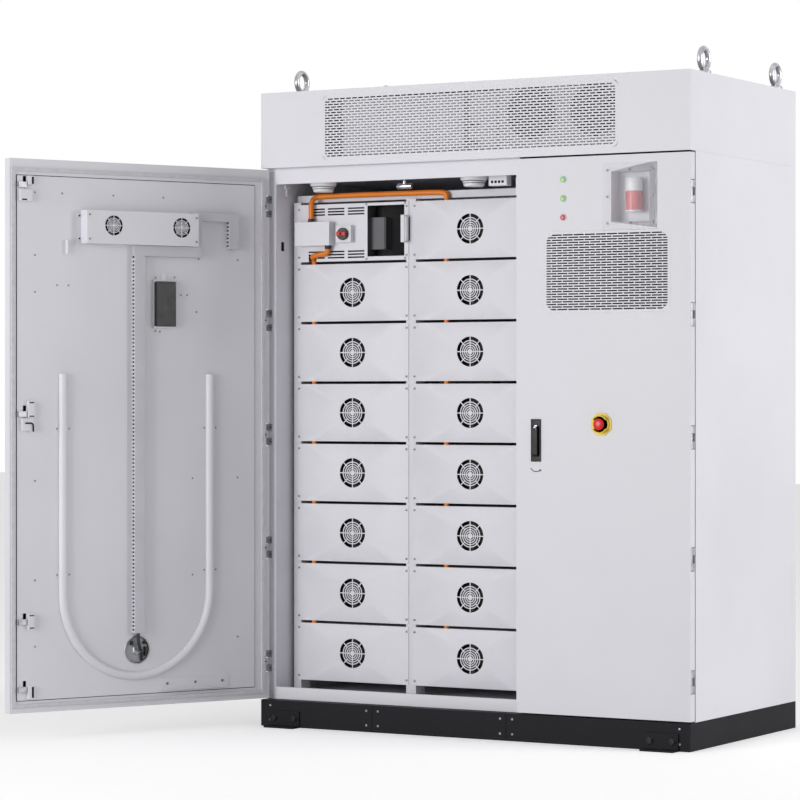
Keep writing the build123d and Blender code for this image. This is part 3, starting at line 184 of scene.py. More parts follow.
def placed_copy(piece, matrix):
    """A copy of the piece with its own mesh, moved by the matrix."""
    twin = piece.copy()
    twin.data = piece.data.copy()
    bpy.context.scene.collection.objects.link(twin)
    twin.data.transform(matrix)
    return twin


def joined(name, *parts):
    """Joins the parts into one piece."""
    only(parts[0])
    for part in parts[1:]:
        part.select_set(True)
    bpy.ops.object.join()
    parts[0].name = name
    return parts[0]


def pan_screw(name, radius, head, material):
    """A pan head that faces the front with its seat on the origin, and a socket sunk in it."""
    piece = primitive(bpy.ops.mesh.primitive_cylinder_add, name, vertices=12, radius=radius, depth=head,
                      location=(0, -head / 2, 0), rotation=(math.pi / 2, 0, 0))
    bpy.ops.object.mode_set(mode="EDIT")
    bpy.ops.mesh.select_all(action="DESELECT")
    mesh = bmesh.from_edit_mesh(piece.data)
    for face in mesh.faces:
        face.select_set(face.normal.y < -0.9)
    bmesh.update_edit_mesh(piece.data)
    bpy.ops.mesh.inset(thickness=radius * 0.28)
    bpy.ops.transform.translate(value=(0, -head * 0.25, 0))
    bpy.ops.mesh.inset(thickness=radius * 0.3)
    bpy.ops.mesh.extrude_region_move(TRANSFORM_OT_translate={"value": (0, head * 0.5, 0)})
    bpy.ops.object.mode_set(mode="OBJECT")
    bpy.ops.object.shade_smooth_by_angle(angle=math.radians(40))
    piece.data.materials.append(material)
    return piece


def screwed_at(name, radius, head, material, places, turn=None):
    """One screw copied to each (x, y, z), all joined. turn sets the way their heads face."""
    first = pan_screw(name, radius, head, material)
    turn = turn or Matrix.Identity(4)
    copies = [placed_copy(first, Matrix.Translation(place) @ turn) for place in places]
    bpy.data.objects.remove(first)
    return joined(name, *copies)


plinth_black = finish("plinth_black", (28, 28, 33), (20, 20, 25), 0.25, (0.5, 0.62), 0.0012, 0.00006,
                      Specular_IOR_Level=0.15)
screw_black = finish("screw_black", (28, 28, 31), (16, 16, 19), 0.004, (0.3, 0.45), 0.0006, 0.00003,
                     Specular_IOR_Level=0.25)
merged_copy("base_plinth", "plinth_frame", "cabinet", plinth_black, edge=0.0015)
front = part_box("base_plinth")[0].y
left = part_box("base_plinth")[0].x
plinth_places = [(left + x * mm, front, z * mm) for x in (40, 445, 493, 986, 1034, 1672) for z in (24, 76)]
settle(screwed_at("plinth_screws", 4 * mm, 0.6 * mm, screw_steel, plinth_places), "cabinet")


# The anchor brackets are plates bolted to the plinth's ends, with a slotted foot for the floor bolts.
# They are cut from black-painted steel, and each is held by two hexagon bolts with washers.
bracket_black = finish("bracket_black", (22, 22, 26), (15, 15, 19), 0.08, (0.45, 0.58), 0.001, 0.00006,
                       Specular_IOR_Level=0.15)
merged_copy("anchor_brackets", "anchor_feet", "cabinet", bracket_black, edge=0.0006)
bolt_parts = []
for vertices, radius, depth, middle, edge in ((6, 10.4, 7, 4.5, 0.8), (32, 13, 1.6, 0.8, 0.3)):
    part = primitive(bpy.ops.mesh.primitive_cylinder_add, "bolt_part", vertices=vertices,
                     radius=radius * mm,
                     depth=depth * mm, location=(0, -middle * mm, 0), rotation=(math.pi / 2, 0, 0))
    bolt_parts.append(softened(part, edge * mm))
bolt = joined("anchor_bolt", *bolt_parts)
bolt.data.materials.append(screw_black)
bracket_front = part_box("anchor_brackets")[0].y + 44 * mm
bolts = []
for side in (-1, 1):
    for offset in (-42, 42):
        place = Matrix.Translation((side * 752 * mm + offset * mm, bracket_front, 33 * mm))
        bolts += [placed_copy(bolt, place), placed_copy(bolt, Matrix.Rotation(math.pi, 4, "Z") @ place)]
bpy.data.objects.remove(bolt)
settle(joined("anchor_bolts", *bolts), "cabinet")


# The cabinet's body is welded from folded sheet and powder coated light grey inside and out: side
# walls with insulation, a floor, a ceiling, a front frame with the door openings, and the partition.
cabinet_grey = finish("cabinet_grey", (221, 220, 226), (214, 213, 219), 0.55, (0.38, 0.48), 0.0011, 0.00005)
merged_copy("cabinet_body", "body_shell", "cabinet", cabinet_grey, edge=0.0012)

# On the left inner wall sit a white door switch with a cross lever and a black oblong cable slot.
sensor_white = finish("sensor_white", (228, 228, 232), (218, 218, 222), 0.02, (0.35, 0.45), 0.001, 0.00003)
slot_black = finish("slot_black", (14, 14, 16), (8, 8, 10), 0.02, (0.6, 0.75), 0.001, 0.00004,
                    Specular_IOR_Level=0.15)


def front_block(name, x, depth, z, material=None, edge=0.0, segments=2):
    """A box in mm from the cabinet's left side, behind its front and above the floor."""
    piece = block(name, [left + v * mm for v in x], [front + v * mm for v in depth], [v * mm for v in z],
                  material)
    return softened(piece, edge * mm, segments) if edge else piece

wall = 37
sensor = joined("door_sensor",
                front_block("sensor_stem", (wall, wall + 9), (104, 118), (1930, 1962), sensor_white, 1.5),
                front_block("sensor_head", (wall, wall + 12), (94, 128), (1958, 1971), sensor_white, 2))
settle(sensor, "cabinet")
cable_slot = front_block("wall_cable_slot", (wall, wall + 1.2), (79, 97), (1729, 1762), slot_black, 0.5)
settle(cable_slot, "cabinet")


# The roof header is a folded hood on top of the body, in the same paint, with a slotted front grille.
# It is bolted down from inside, so its faces stay plain.
merged_copy("roof_header", "header_hood", "cabinet", cabinet_grey, edge=0.003, segments=3)


# The lifting eyes are forged eyebolts with a round flange, zinc plated, screwed into the roof's corners
# for the crane's hooks.
eye_steel = finish("eye_steel", (206, 206, 210), (160, 160, 166), 0.03, (0.18, 0.34), 0.002, 0.0001,
                   Metallic=1.0)


def turned(name, outline, steps=48, material=None):
    """A turned piece round the Z axis, ring after ring: (radius, height) in mm from one end to the other."""
    radius, height = outline[0]
    piece = primitive(bpy.ops.mesh.primitive_circle_add, name, vertices=steps, radius=radius * mm,
                      location=(0, 0, height * mm), fill_type="NGON")
    bpy.ops.object.mode_set(mode="EDIT")
    bpy.ops.mesh.select_mode(type="EDGE")
    bpy.ops.mesh.select_all(action="SELECT")
    bpy.ops.mesh.region_to_loop()
    for next_radius, next_height in outline[1:]:
        bpy.ops.mesh.extrude_edges_move(TRANSFORM_OT_translate={
            "value": (0, 0, (next_height - height) * mm)})
        share = next_radius / radius
        bpy.ops.transform.resize(value=(share, share, 1), center_override=(0, 0, 0))
        radius, height = next_radius, next_height
    bpy.ops.mesh.edge_face_add()
    bpy.ops.mesh.select_all(action="SELECT")
    bpy.ops.mesh.normals_make_consistent(inside=False)
    bpy.ops.object.mode_set(mode="OBJECT")
    bpy.ops.object.shade_smooth_by_angle(angle=math.radians(35))
    if material:
        piece.data.materials.append(material)
    return piece


ring = primitive(bpy.ops.mesh.primitive_torus_add, "eye_ring", major_segments=56, minor_segments=20,
                 major_radius=35 * mm, minor_radius=10 * mm, location=(0, 0, 55 * mm),
                 rotation=(0, math.pi / 2, 0))
bpy.ops.object.shade_smooth()
collar = turned("eye_collar", ((24, 0), (25, 1), (25, 11), (23.5, 14), (17, 16), (13, 20), (11, 27)))
eye = joined("forged_eye", ring, collar)
eye.data.materials.clear()
eye.data.materials.append(eye_steel)
low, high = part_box("lifting_eyes")
eyes = [placed_copy(eye, Matrix.Translation((x, y, high.z - 100 * mm)))
        for x in (low.x + 25 * mm, high.x - 25 * mm) for y in (-244 * mm, 374 * mm)]
bpy.data.objects.remove(eye)
eyes = settle(joined("forged_eyes", *eyes), "cabinet")
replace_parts(eyes, "lifting_eyes")


# The header's grille is a steel sheet punched with rows of short slots laid like bricks, set flush in
# the hood's front and painted with it. A plain margin runs round the slots.
def flat_sheet(name, width, height):
    """A plane that faces the front, as wide and high as asked, centred on the origin."""
    bpy.ops.object.select_all(action="DESELECT")
    bpy.ops.mesh.primitive_plane_add(size=1, rotation=(math.pi / 2, 0, 0))
    piece = bpy.context.object
    piece.name = name
    piece.scale = (width, height, 1)
    bpy.ops.object.transform_apply(location=True, rotation=True, scale=True)
    return piece


def slot_cell(name, width, height, margin):
    """One slot with the metal round it, from the middle of one bridge to the middle of the next."""
    piece = flat_sheet(name, width, height)
    bpy.ops.object.mode_set(mode="EDIT")
    bpy.ops.mesh.select_all(action="SELECT")
    bpy.ops.mesh.inset(thickness=margin)
    bpy.ops.mesh.delete(type="FACE")
    bpy.ops.object.mode_set(mode="OBJECT")
    return piece


def moved(piece, x=0.0, y=0.0, z=0.0):
    """Shifts the piece's mesh."""
    piece.data.transform(Matrix.Translation((x, y, z)))
    return piece


def brick_rows(name, x, z, front, columns, rows, margin, thickness):
    """A punched sheet between the limits x and z, with its front face at front. Odd rows shift half a slot."""
    width = (x[1] - x[0]) / columns
    height = (z[1] - z[0]) / rows
    even = applied(slot_cell(name, width, height, margin), "ARRAY", count=columns,
                   use_relative_offset=False, use_constant_offset=True,
                   constant_offset_displace=(width, 0, 0))
    moved(even, x[0] + width / 2, front, z[0] + height / 2)
    odd = applied(slot_cell("odd_row", width, height, margin), "ARRAY", count=columns - 1,
                  use_relative_offset=False, use_constant_offset=True,
                  constant_offset_displace=(width, 0, 0))
    moved(odd, x[0] + width, front, z[0] + height * 1.5)
    first = moved(slot_cell("first_half", width / 2, height, margin),
                  x[0] + width / 4, front, z[0] + height * 1.5)
    last = moved(slot_cell("last_half", width / 2, height, margin),
                 x[1] - width / 4, front, z[0] + height * 1.5)
    sheet = joined(name, even, odd, first, last)
    applied(sheet, "ARRAY", count=rows // 2, use_relative_offset=False, use_constant_offset=True,
            constant_offset_displace=(0, 0, 2 * height))
    bpy.ops.object.mode_set(mode="EDIT")
    bpy.ops.mesh.select_all(action="SELECT")
    bpy.ops.mesh.remove_doubles(threshold=0.00005)
    bpy.ops.object.mode_set(mode="OBJECT")
    return applied(sheet, "SOLIDIFY", thickness=thickness, offset=-1)


def cut(piece, tool):
    """Takes the tool's shape out of the piece."""
    applied(piece, "BOOLEAN", object=tool, operation="DIFFERENCE", solver="EXACT")
    bpy.data.objects.remove(tool)
    return piece


def plain_margin(name, outer, inner, y, corner):
    """The unpunched rim of a slotted sheet, with its outer corners rounded."""
    rim = block(name, (outer[0], outer[1]), y, (outer[2], outer[3]))
    bpy.ops.object.mode_set(mode="EDIT")
    bpy.ops.mesh.select_all(action="DESELECT")
    mesh = bmesh.from_edit_mesh(rim.data)
    for edge in mesh.edges:
        start, end = edge.verts
        if abs(start.co.y - end.co.y) > 0.5 * (y[1] - y[0]):
            edge.select_set(True)
    bmesh.update_edit_mesh(rim.data)
    bpy.ops.mesh.bevel(offset=corner, segments=6, affect="EDGES")
    bpy.ops.object.mode_set(mode="OBJECT")
    return cut(rim, block("inside", (inner[0], inner[1]), (y[0] - 0.01, y[1] + 0.01), (inner[2], inner[3])))


def rounded_corners(name, x, z, y, radius):
    """Four plates that close the corners of a punched field, so that it ends in quarter circles."""
    plates = []
    for edge_x, side_x in ((x[0], 1), (x[1], -1)):
        for edge_z, side_z in ((z[0], 1), (z[1], -1)):
            inner_x, inner_z = edge_x + side_x * radius, edge_z + side_z * radius
            plate = block("corner_plate", sorted((edge_x, inner_x)), y, sorted((edge_z, inner_z)))
            tool = primitive(bpy.ops.mesh.primitive_cylinder_add, "corner_tool", vertices=64, radius=radius,
                             depth=0.1, location=(inner_x, y[0], inner_z), rotation=(math.pi / 2, 0, 0))
            plates.append(cut(plate, tool))
    return joined(name, *plates)


low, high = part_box("header_grille")
grille_x = (low.x + 8 * mm, high.x - 8 * mm)
grille_z = (low.z + 8 * mm, high.z - 8 * mm)
header_slots = brick_rows("header_slots", grille_x, grille_z, low.y, 46, 22, 2.6 * mm, 1.5 * mm)
header_rim = plain_margin("header_rim", (low.x, high.x, low.z, high.z),
                          (grille_x[0], grille_x[1], grille_z[0], grille_z[1]), (low.y, high.y), 20 * mm)
header_corners = rounded_corners("header_corners", grille_x, grille_z,
                                 (low.y + 0.05 * mm, low.y + 1.5 * mm), 0.026)
header_grille = joined("header_grille_sheet", header_slots, header_rim, header_corners)
settle(header_grille, "cabinet", cabinet_grey)
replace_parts(header_grille, "header_grille")


# The condenser stands behind the grille at its right end. Its case and coil guard are painted light
# grey, and its two axial fans are black plastic. Black acoustic foam lines the hood round it, and pale
# filter mats held by black clips stand behind the intake.
case_grey = finish("case_grey", (196, 196, 201), (184, 184, 190), 0.2, (0.45, 0.58), 0.0015, 0.00006)
paint_node(case_grey, "condenser_unit")
foam_black = finish("foam_black", (14, 14, 16), (8, 8, 10), 0.03, (0.8, 0.95), 0.002, 0.0004,
                    Specular_IOR_Level=0.15)
mat_pale = finish("mat_pale", (214, 213, 218), (198, 197, 203), 0.05, (0.7, 0.85), 0.0012, 0.0003)
foam = joined("hood_foam", *[
    front_block(f"foam_{part}", x, depth, z, foam_black)
    for part, x, depth, z in (("roof", (272, 962), (5, 480), (2266, 2269.5)),
                              ("floor", (272, 962), (5, 480), (2056.5, 2060)),
                              ("side", (270.5, 274.5), (5, 480), (2060, 2266)),
                              ("back", (275, 962), (478.5, 482), (2060, 2266)))])
settle(foam, "cabinet")
filters = joined("intake_filters", *[front_block(f"{width}_mat", x, (24, 32), (2060.5, 2265.5), mat_pale)
                                     for width, x in (("wide", (334, 844)), ("narrow", (850, 961)))])
settle(softened(filters, 2 * mm), "cabinet")
clips = [front_block("clip", (x, x + width), (16, 24), (z, z + tall), foam_black, 1)
         for x, width, z, tall in ((858, 12, 2143, 12), (876, 12, 2143, 12), (858, 12, 2076, 16),
                                   (876, 12, 2076, 16), (836, 7, 2061, 204))]

def at_front(x, z):
    """Takes a piece turned about Z to the cabinet's front, at x and z in mm, with its top outwards."""
    return Matrix.Translation((left + x * mm, front, z * mm)) @ Matrix.Rotation(math.pi / 2, 4, "X")

for x in (1096, 1343):
    screen = turned("fan_screen", ((88, -24), (89, -23), (89, -12.6), (88, -12)), steps=64,
                    material=foam_black)
    screen.data.transform(at_front(x, 2181))
    clips.append(screen)
settle(joined("filter_clips", *clips), "cabinet")
# A black strip deep in the gap above the right door is painted shade, so that the gap reads as a dark line; it
# takes the foam's black.
gap_shade_strip = front_block("door_gap_painted_shade", (1064, 1704), (3, 30), (2021.8, 2026.6), foam_black)
settle(gap_shade_strip, "cabinet")
fan_black = finish("fan_black", (30, 30, 33), (20, 20, 23), 0.02, (0.4, 0.55), 0.0008, 0.00004)
paint_node(fan_black, "header_fan_1", "header_fan_2")


# The battery rack is welded from angle and channel, powder coated light grey. Its posts carry a shelf
# for each battery pack, and its top beam ties the columns.
rack_grey = finish("rack_grey", (212, 211, 217), (202, 201, 208), 0.3, (0.42, 0.52), 0.0012, 0.00005)
paint_node(rack_grey, "battery_rack")


# Fifteen battery packs slide in from the front on the rack's shelves. Each has a steel case and a front
# plate with folded edges, a ring guard cut in it for the fan, and a pan-head screw in each corner.
pack_grey = finish("pack_grey", (218, 217, 223), (209, 208, 214), 0.22, (0.4, 0.5), 0.001, 0.00005)
shroud_black = finish("shroud_black", (24, 24, 27), (14, 14, 17), 0.05, (0.5, 0.65), 0.0015, 0.00006)
RING_STEPS = (4.0, 9.5, 13.5, 17.0, 21.0, 24.5, 29.0, 32.5, 37.5, 41.0, 53.5)
SLOT_RINGS = {9.5: 4, 17.0: 4, 24.5: 4, 32.5: 8, 41.0: 8}
GUARD_STEPS = 64


def fan_guard_plate(name, width, height, rim=90.0, fold=9.0):
    """The pack's front plate round the origin: rings and spokes left between slots, and folded edges.
    With no width it stays a round guard out to the rim."""
    plate = primitive(bpy.ops.mesh.primitive_circle_add, name, vertices=GUARD_STEPS,
                      radius=RING_STEPS[0] * mm, fill_type="NGON", rotation=(math.pi / 2, 0, 0))
    bpy.ops.object.mode_set(mode="EDIT")
    bpy.ops.mesh.select_mode(type="EDGE")
    bpy.ops.mesh.select_all(action="SELECT")
    bpy.ops.mesh.region_to_loop()
    last = RING_STEPS[0]
    for radius in RING_STEPS[1:] + (rim,):
        bpy.ops.mesh.extrude_edges_move()
        bpy.ops.transform.resize(value=(radius / last,) * 3, center_override=(0, 0, 0))
        last = radius
    mesh = bmesh.from_edit_mesh(plate.data)
    step = 2 * math.pi / GUARD_STEPS
    spare = []
    for face in mesh.faces:
        middle = face.calc_center_median()
        radius = math.hypot(middle.x, middle.z) / mm
        sector = int((math.atan2(middle.z, middle.x) % (2 * math.pi)) / step)
        for start, spokes in SLOT_RINGS.items():
            end = RING_STEPS[RING_STEPS.index(start) + 1]
            per_slot = GUARD_STEPS // spokes
            if start < radius < end and sector % per_slot not in (0, per_slot - 1):
                spare.append(face)
    bmesh.ops.delete(mesh, geom=spare, context="FACES_ONLY")
    for vertex in mesh.verts:
        radius = math.hypot(vertex.co.x, vertex.co.z)
        turn = round((math.atan2(vertex.co.z, vertex.co.x) % (2 * math.pi)) / step) % GUARD_STEPS
        eight = radius > 32 * mm
        per_slot = GUARD_STEPS // (8 if eight else 4)
        if width and radius > 60 * mm:
            slope = max(abs(vertex.co.x) / (width / 2), abs(vertex.co.z) / (height / 2))
            vertex.co.x /= slope
            vertex.co.z /= slope
        elif turn % per_slot in (1, per_slot - 1) and 5 * mm < radius < 54 * mm:
            side = 1 if turn % per_slot == 1 else -1
            spoke = (turn - side) * step + side * math.asin(1.7 * mm / radius)
            vertex.co.x = radius * math.cos(spoke)
            vertex.co.z = radius * math.sin(spoke)
    if not width:
        bmesh.update_edit_mesh(plate.data)
        bpy.ops.object.mode_set(mode="OBJECT")
        if sum(face.normal.y for face in plate.data.polygons) > 0:
            plate.data.flip_normals()
        return applied(plate, "SOLIDIFY", thickness=2.4 * mm, offset=-1)
    corners = [(sx * width / 2, sz * height / 2) for sx in (-1, 1) for sz in (-1, 1)]
    outer = [v for v in mesh.verts if abs(v.co.x) > width / 2 - 1e-6 or abs(v.co.z) > height / 2 - 1e-6]
    for x, z in corners:
        nearest = min(outer, key=lambda v: (v.co.x - x) ** 2 + (v.co.z - z) ** 2)
        nearest.co.x = x
        nearest.co.z = z
    bpy.ops.mesh.select_all(action="DESELECT")
    for edge in mesh.edges:
        edge.select_set(edge.is_boundary and all(v in outer for v in edge.verts))
    bmesh.update_edit_mesh(plate.data)
    bpy.ops.mesh.extrude_edges_move(TRANSFORM_OT_translate={"value": (0, fold * mm, 0)})
    mesh = bmesh.from_edit_mesh(plate.data)
    bpy.ops.mesh.select_all(action="DESELECT")
    for edge in mesh.edges:
        at_fold = all(abs(v.co.x) > width / 2 - 1e-6 or abs(v.co.z) > height / 2 - 1e-6 for v in edge.verts)
        edge.select_set(at_fold and all(v.co.y < 1e-5 for v in edge.verts))
    bmesh.update_edit_mesh(plate.data)
    bpy.ops.mesh.bevel(offset=1.2 * mm, segments=2, affect="EDGES")
    bpy.ops.mesh.select_all(action="SELECT")
    bpy.ops.mesh.normals_make_consistent(inside=False)
    bpy.ops.object.mode_set(mode="OBJECT")
    if sum(face.normal.y for face in plate.data.polygons) > 0:
        plate.data.flip_normals()
    return applied(plate, "SOLIDIFY", thickness=1.5 * mm, offset=-1)


low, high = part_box("battery_packs_left")
pack_x = (low.x + high.x) / 2
pack_front = low.y
row_pitch = 218.4 * mm
first_row = 265.0 * mm
plate = fan_guard_plate("pack_plate", 470 * mm, 209 * mm)
plate.data.materials.append(pack_grey)
only(plate)
bpy.ops.object.shade_smooth_by_angle(angle=math.radians(30))
case = block("pack_case", (-220 * mm, 220 * mm), (3 * mm, high.y - low.y), (-101.5 * mm, 101.5 * mm))
cut(case, primitive(bpy.ops.mesh.primitive_cylinder_add, "recess", vertices=48, radius=57 * mm,
                    depth=62 * mm, location=(0, 3 * mm, 0), rotation=(math.pi / 2, 0, 0)))
case.data.materials.append(pack_grey)
case.data.materials.append(shroud_black)
for face in case.data.polygons:
    if math.hypot(face.center.x, face.center.z) < 57.5 * mm and 3.5 * mm < face.center.y < 40 * mm:
        face.material_index = 1
applied(case, "BEVEL", width=1.5 * mm, segments=2, limit_method="ANGLE", angle_limit=math.radians(60))
screws = screwed_at("pack_screws", 3.8 * mm, 2.6 * mm, screw_steel,
                    [(sx * 227 * mm, 0, sz * 87.5 * mm) for sx in (-1, 1) for sz in (-1, 1)])
pack = joined("battery_pack_front", plate, case, screws)
right_x = sum(corner.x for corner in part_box("battery_packs_right")) / 2
for side, centre, rows in (("left", pack_x, 7), ("right", right_x, 8)):
    for row in range(rows):
        twin = placed_copy(pack, Matrix.Translation((centre, pack_front, first_row + row * row_pitch)))
        twin.name = f"battery_pack_{side}_{row + 1}"
        settle(twin, "cabinet")
        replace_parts(twin, f"battery_packs_{side}")
bpy.data.objects.remove(pack)
paint_node(fan_black, *[name for name in nodes if name.startswith("pack_fan_")])


# The high-voltage control box fills the top left bay: a painted steel front with louvre slots, a dark
# window on its meter, a pull handle, and the switch body with its red knob under a small cover.
box_front = merged_copy("hv_control_box", "control_box", "cabinet", pack_grey, edge=0.0007)
window_black = finish("window_black", (14, 14, 16), (8, 8, 10), 0.04, (0.4, 0.5), 0.001, 0.00003,
                      Specular_IOR_Level=0.15)
meter_grey = finish("meter_grey", (82, 81, 87), (70, 69, 75), 0.03, (0.4, 0.5), 0.001, 0.00004)
box_front.data.materials.append(window_black)
box_front.data.materials.append(meter_grey)
plate_face = front + 142 * mm
for face in box_front.data.polygons:
    x = (face.center.x - left) / mm
    z = face.center.z / mm
    depth = (face.center.y - plate_face) / mm
    if 365 < x < 521 and 1703 < z < 1889 and 1.5 < depth < 61:
        face.material_index = 2 if x < 430 and 1729 < z < 1847 and depth < 59 else 1
    elif 110 < x < 360 and 4 < depth < 10 and (1699 < z < 1729 or 1856 < z < 1885):
        face.material_index = 1
glass_dark = finish("glass_dark", (16, 16, 20), (10, 10, 14), 0.05, (0.05, 0.1), 0.004, 0.00001, Alpha=0.3,
                    Specular_IOR_Level=0.15)
pane = front_block("meter_window", (430.5, 519), (150, 152), (1705, 1887), glass_dark, 0.4)
settle(pane, "cabinet")
slit = front_block("latch_slit", (538.5, 542), (141.5, 143), (1758, 1842), slot_black, 0.3)
settle(slit, "cabinet")
box_places = [(pack_x + sx * 227 * mm, plate_face, 1793.8 * mm + sz * 87.5 * mm)
              for sx in (-1, 1) for sz in (-1, 1)]
box_places += [(left + x * mm, plate_face, z * mm) for x in (362, 524) for z in (1696, 1894)]
settle(screwed_at("control_box_screws", 3.8 * mm, 2.6 * mm, screw_steel, box_places), "cabinet")
knob_red = finish("knob_red", (206, 30, 24), (180, 20, 18), 0.02, (0.3, 0.4), 0.0008, 0.00003)
knob_black = finish("knob_black", (28, 28, 31), (18, 18, 21), 0.02, (0.35, 0.5), 0.0008, 0.00003)
mark_yellow = finish("mark_yellow", (226, 198, 46), (214, 186, 36), 0.01, (0.3, 0.4), 0.0008, 0.00002)
knob_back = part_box("disconnect_knob")[1].y - 18 * mm
facing_out = (Matrix.Translation((left + 277 * mm, knob_back, 1787 * mm))
              @ Matrix.Rotation(math.pi / 2, 4, "X"))
skirt = turned("knob_skirt", ((21.5, 0), (22.8, 1), (22.8, 8), (21.5, 10)), steps=12, material=knob_black)
skirt.data.transform(facing_out)
settle(softened(skirt, 0.6 * mm), "knob")
grip = block("knob_grip", (-19.5 * mm, 19.5 * mm), (-7.5 * mm, 7.5 * mm), (9.5 * mm, 20 * mm), knob_red)
softened(grip, 3 * mm, segments=3)
grip.data.transform(facing_out)
settle(grip, "knob")
dot = turned("knob_centre", ((5, 19.5), (5, 19.9), (4.4, 20)), steps=24, material=mark_yellow)
dot.data.transform(facing_out)
settle(dot, "knob")
shaft = turned("knob_shaft", ((4.9, 0), (4.9, -17.9)), steps=24, material=screw_steel)
shaft.data.transform(facing_out)
settle(shaft, "knob")
for piece in (skirt, grip, dot, shaft):
    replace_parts(piece, "disconnect_knob")


# The power cables are orange-sheathed and run from the box to the packs, with a short link between each
# pack and the next. They are fixed at both ends, so they are stiff and keep their shape.
cable_orange = finish("cable_orange", (228, 128, 22), (212, 112, 12), 0.06, (0.4, 0.52), 0.0012, 0.00005)


def held_cable(name, corners):
    """A cable on a smooth line through the corners' polygon, from (left, depth, height) places in mm."""
    bpy.ops.object.select_all(action="DESELECT")
    bpy.ops.curve.primitive_nurbs_path_add()
    piece = bpy.context.object
    piece.name = name
    piece.data.splines.clear()
    line = piece.data.splines.new("NURBS")
    line.points.add(len(corners) - 1)
    for point, (x, depth, z) in zip(line.points, corners):
        point.co = (left + x * mm, front + depth * mm, z * mm, 1)
    line.order_u = 3
    line.use_endpoint_u = True
    line.resolution_u = 10
    piece.data.bevel_depth = 9.5 * mm
    piece.data.bevel_resolution = 5
    piece.data.use_fill_caps = True
    only(piece)
    bpy.ops.object.convert(target="MESH")
    bpy.ops.object.shade_smooth_by_angle(angle=math.radians(40))
    piece = bpy.context.object
    piece.data.materials.append(cable_orange)
    return piece


boot_black = finish("boot_black", (30, 30, 33), (19, 19, 22), 0.02, (0.4, 0.55), 0.001, 0.00005)
runs = [held_cable("top_run", ((137, 125, 1833), (137, 125, 1870), (137, 125, 1905), (143, 140, 1925),
                               (165, 155, 1929), (400, 155, 1929), (655, 155, 1929), (687, 155, 1924),
                               (687, 155, 1910), (687, 155, 1895.3))),
        held_cable("low_run", ((209, 125, 1747), (209, 125, 1730), (205, 125, 1719), (170, 126, 1714),
                               (139, 128, 1709), (134, 148, 1700), (133, 155, 1690), (133, 155, 1676.9)))]
for x, rows in ((133, 6), (687, 7)):
    for row in range(rows):
        low = 265 + 218.4 * row + 101.5
        link = turned("pack_link", ((9.2, low), (9.5, low + 0.4), (9.5, low + 15), (9.2, low + 15.4)),
                      steps=24,
                      material=cable_orange)
        link.data.transform(Matrix.Translation((left + x * mm, front + 155 * mm, 0)))
        runs.append(link)
for x, base, out in ((137, 1833, 1), (209, 1747, -1)):
    boot = turned("cable_boot", ((12, base), (12, base + out * 5), (10.6, base + out * 12),
                                 (10, base + out * 13)),
                  steps=24, material=boot_black)
    boot.data.transform(Matrix.Translation((left + x * mm, front + 125 * mm, 0)))
    runs.append(boot)
cables = settle(joined("orange_cables", *runs), "cabinet")
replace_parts(cables, "power_cables")


# Two white smoke detectors, the extinguisher's nozzle and a junction box hang from the bay's ceiling on
# screwed bases.
detector_white = finish("detector_white", (226, 226, 230), (216, 216, 221), 0.05, (0.35, 0.45), 0.001,
                        0.00004)
ceiling = 1990.0
fittings = []
for x in (199, 823):
    body = turned("smoke_detector", ((30, -49.5), (33, -50), (37, -46), (38, -40), (38.1, -38), (40.5, -38),
                                     (40.5, -33), (38.5, -33), (38.5, -31), (46, -28), (49.5, -20),
                                     (49.5, -12),
                                     (44, -11), (44, -1), (44, 0)), steps=56, material=detector_white)
    body.data.materials.append(slot_black)
    for face in body.data.polygons:
        if -33.5 * mm < face.center.z < -30.5 * mm or (-40 * mm < face.center.z < -37.9 * mm):
            face.material_index = 1
    body.data.transform(Matrix.Translation((left + x * mm, front + 110 * mm, ceiling * mm)))
    fittings.append(body)
fittings += [front_block("junction_box", (881, 955), (110, 144), (1940, 1990), detector_white, 2.5, 3),
             front_block("junction_lid", (884, 952), (108.5, 111), (1943, 1987), detector_white, 1)]
fittings += [front_block("terminal", (x, x + 9), (107.5, 109), (1949, 1958), slot_black, 0.6)
             for x in (892, 906, 920, 934)]
fittings = settle(joined("ceiling_fittings", *fittings), "cabinet")
drop = turned("nozzle_drop", ((14, 0), (14, -4), (8, -5), (8, -34), (10, -36), (10.5, -42), (9, -46)),
              steps=32,
              material=eye_steel)
drop.data.transform(Matrix.Translation((left + 540 * mm, front + 110 * mm, ceiling * mm)))
elbow = turned("nozzle_arm", ((6, -31), (10, -29), (11, -24), (11, 22), (9.5, 26), (9.5, 30), (5, 31.5)),
               steps=32,
               material=eye_steel)
elbow.data.transform(Matrix.Translation((left + 540 * mm, front + 110 * mm, (ceiling - 39) * mm))
                     @ Matrix.Rotation(math.pi / 2, 4, "Y"))
nozzle = settle(joined("gas_nozzle", drop, elbow), "cabinet")
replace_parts(fittings, "bay_detectors")
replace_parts(nozzle, "bay_detectors")


# The power equipment is bolted to a plate on the right compartment's back wall, in grey painted cases.
equipment_grey = finish("equipment_grey", (160, 162, 166), (146, 148, 153), 0.2, (0.45, 0.6), 0.0015,
                        0.00006)
paint_node(equipment_grey, "power_equipment")


# The hinges are lift-off leaves with rolled knuckles on steel pins, zinc plated. One leaf of each is
# screwed to the cabinet's frame and the other to the door's border.
hinge_steel = finish("hinge_steel", (190, 190, 195), (158, 158, 164), 0.02, (0.28, 0.42), 0.0012, 0.00004,
                     Metallic=0.9)


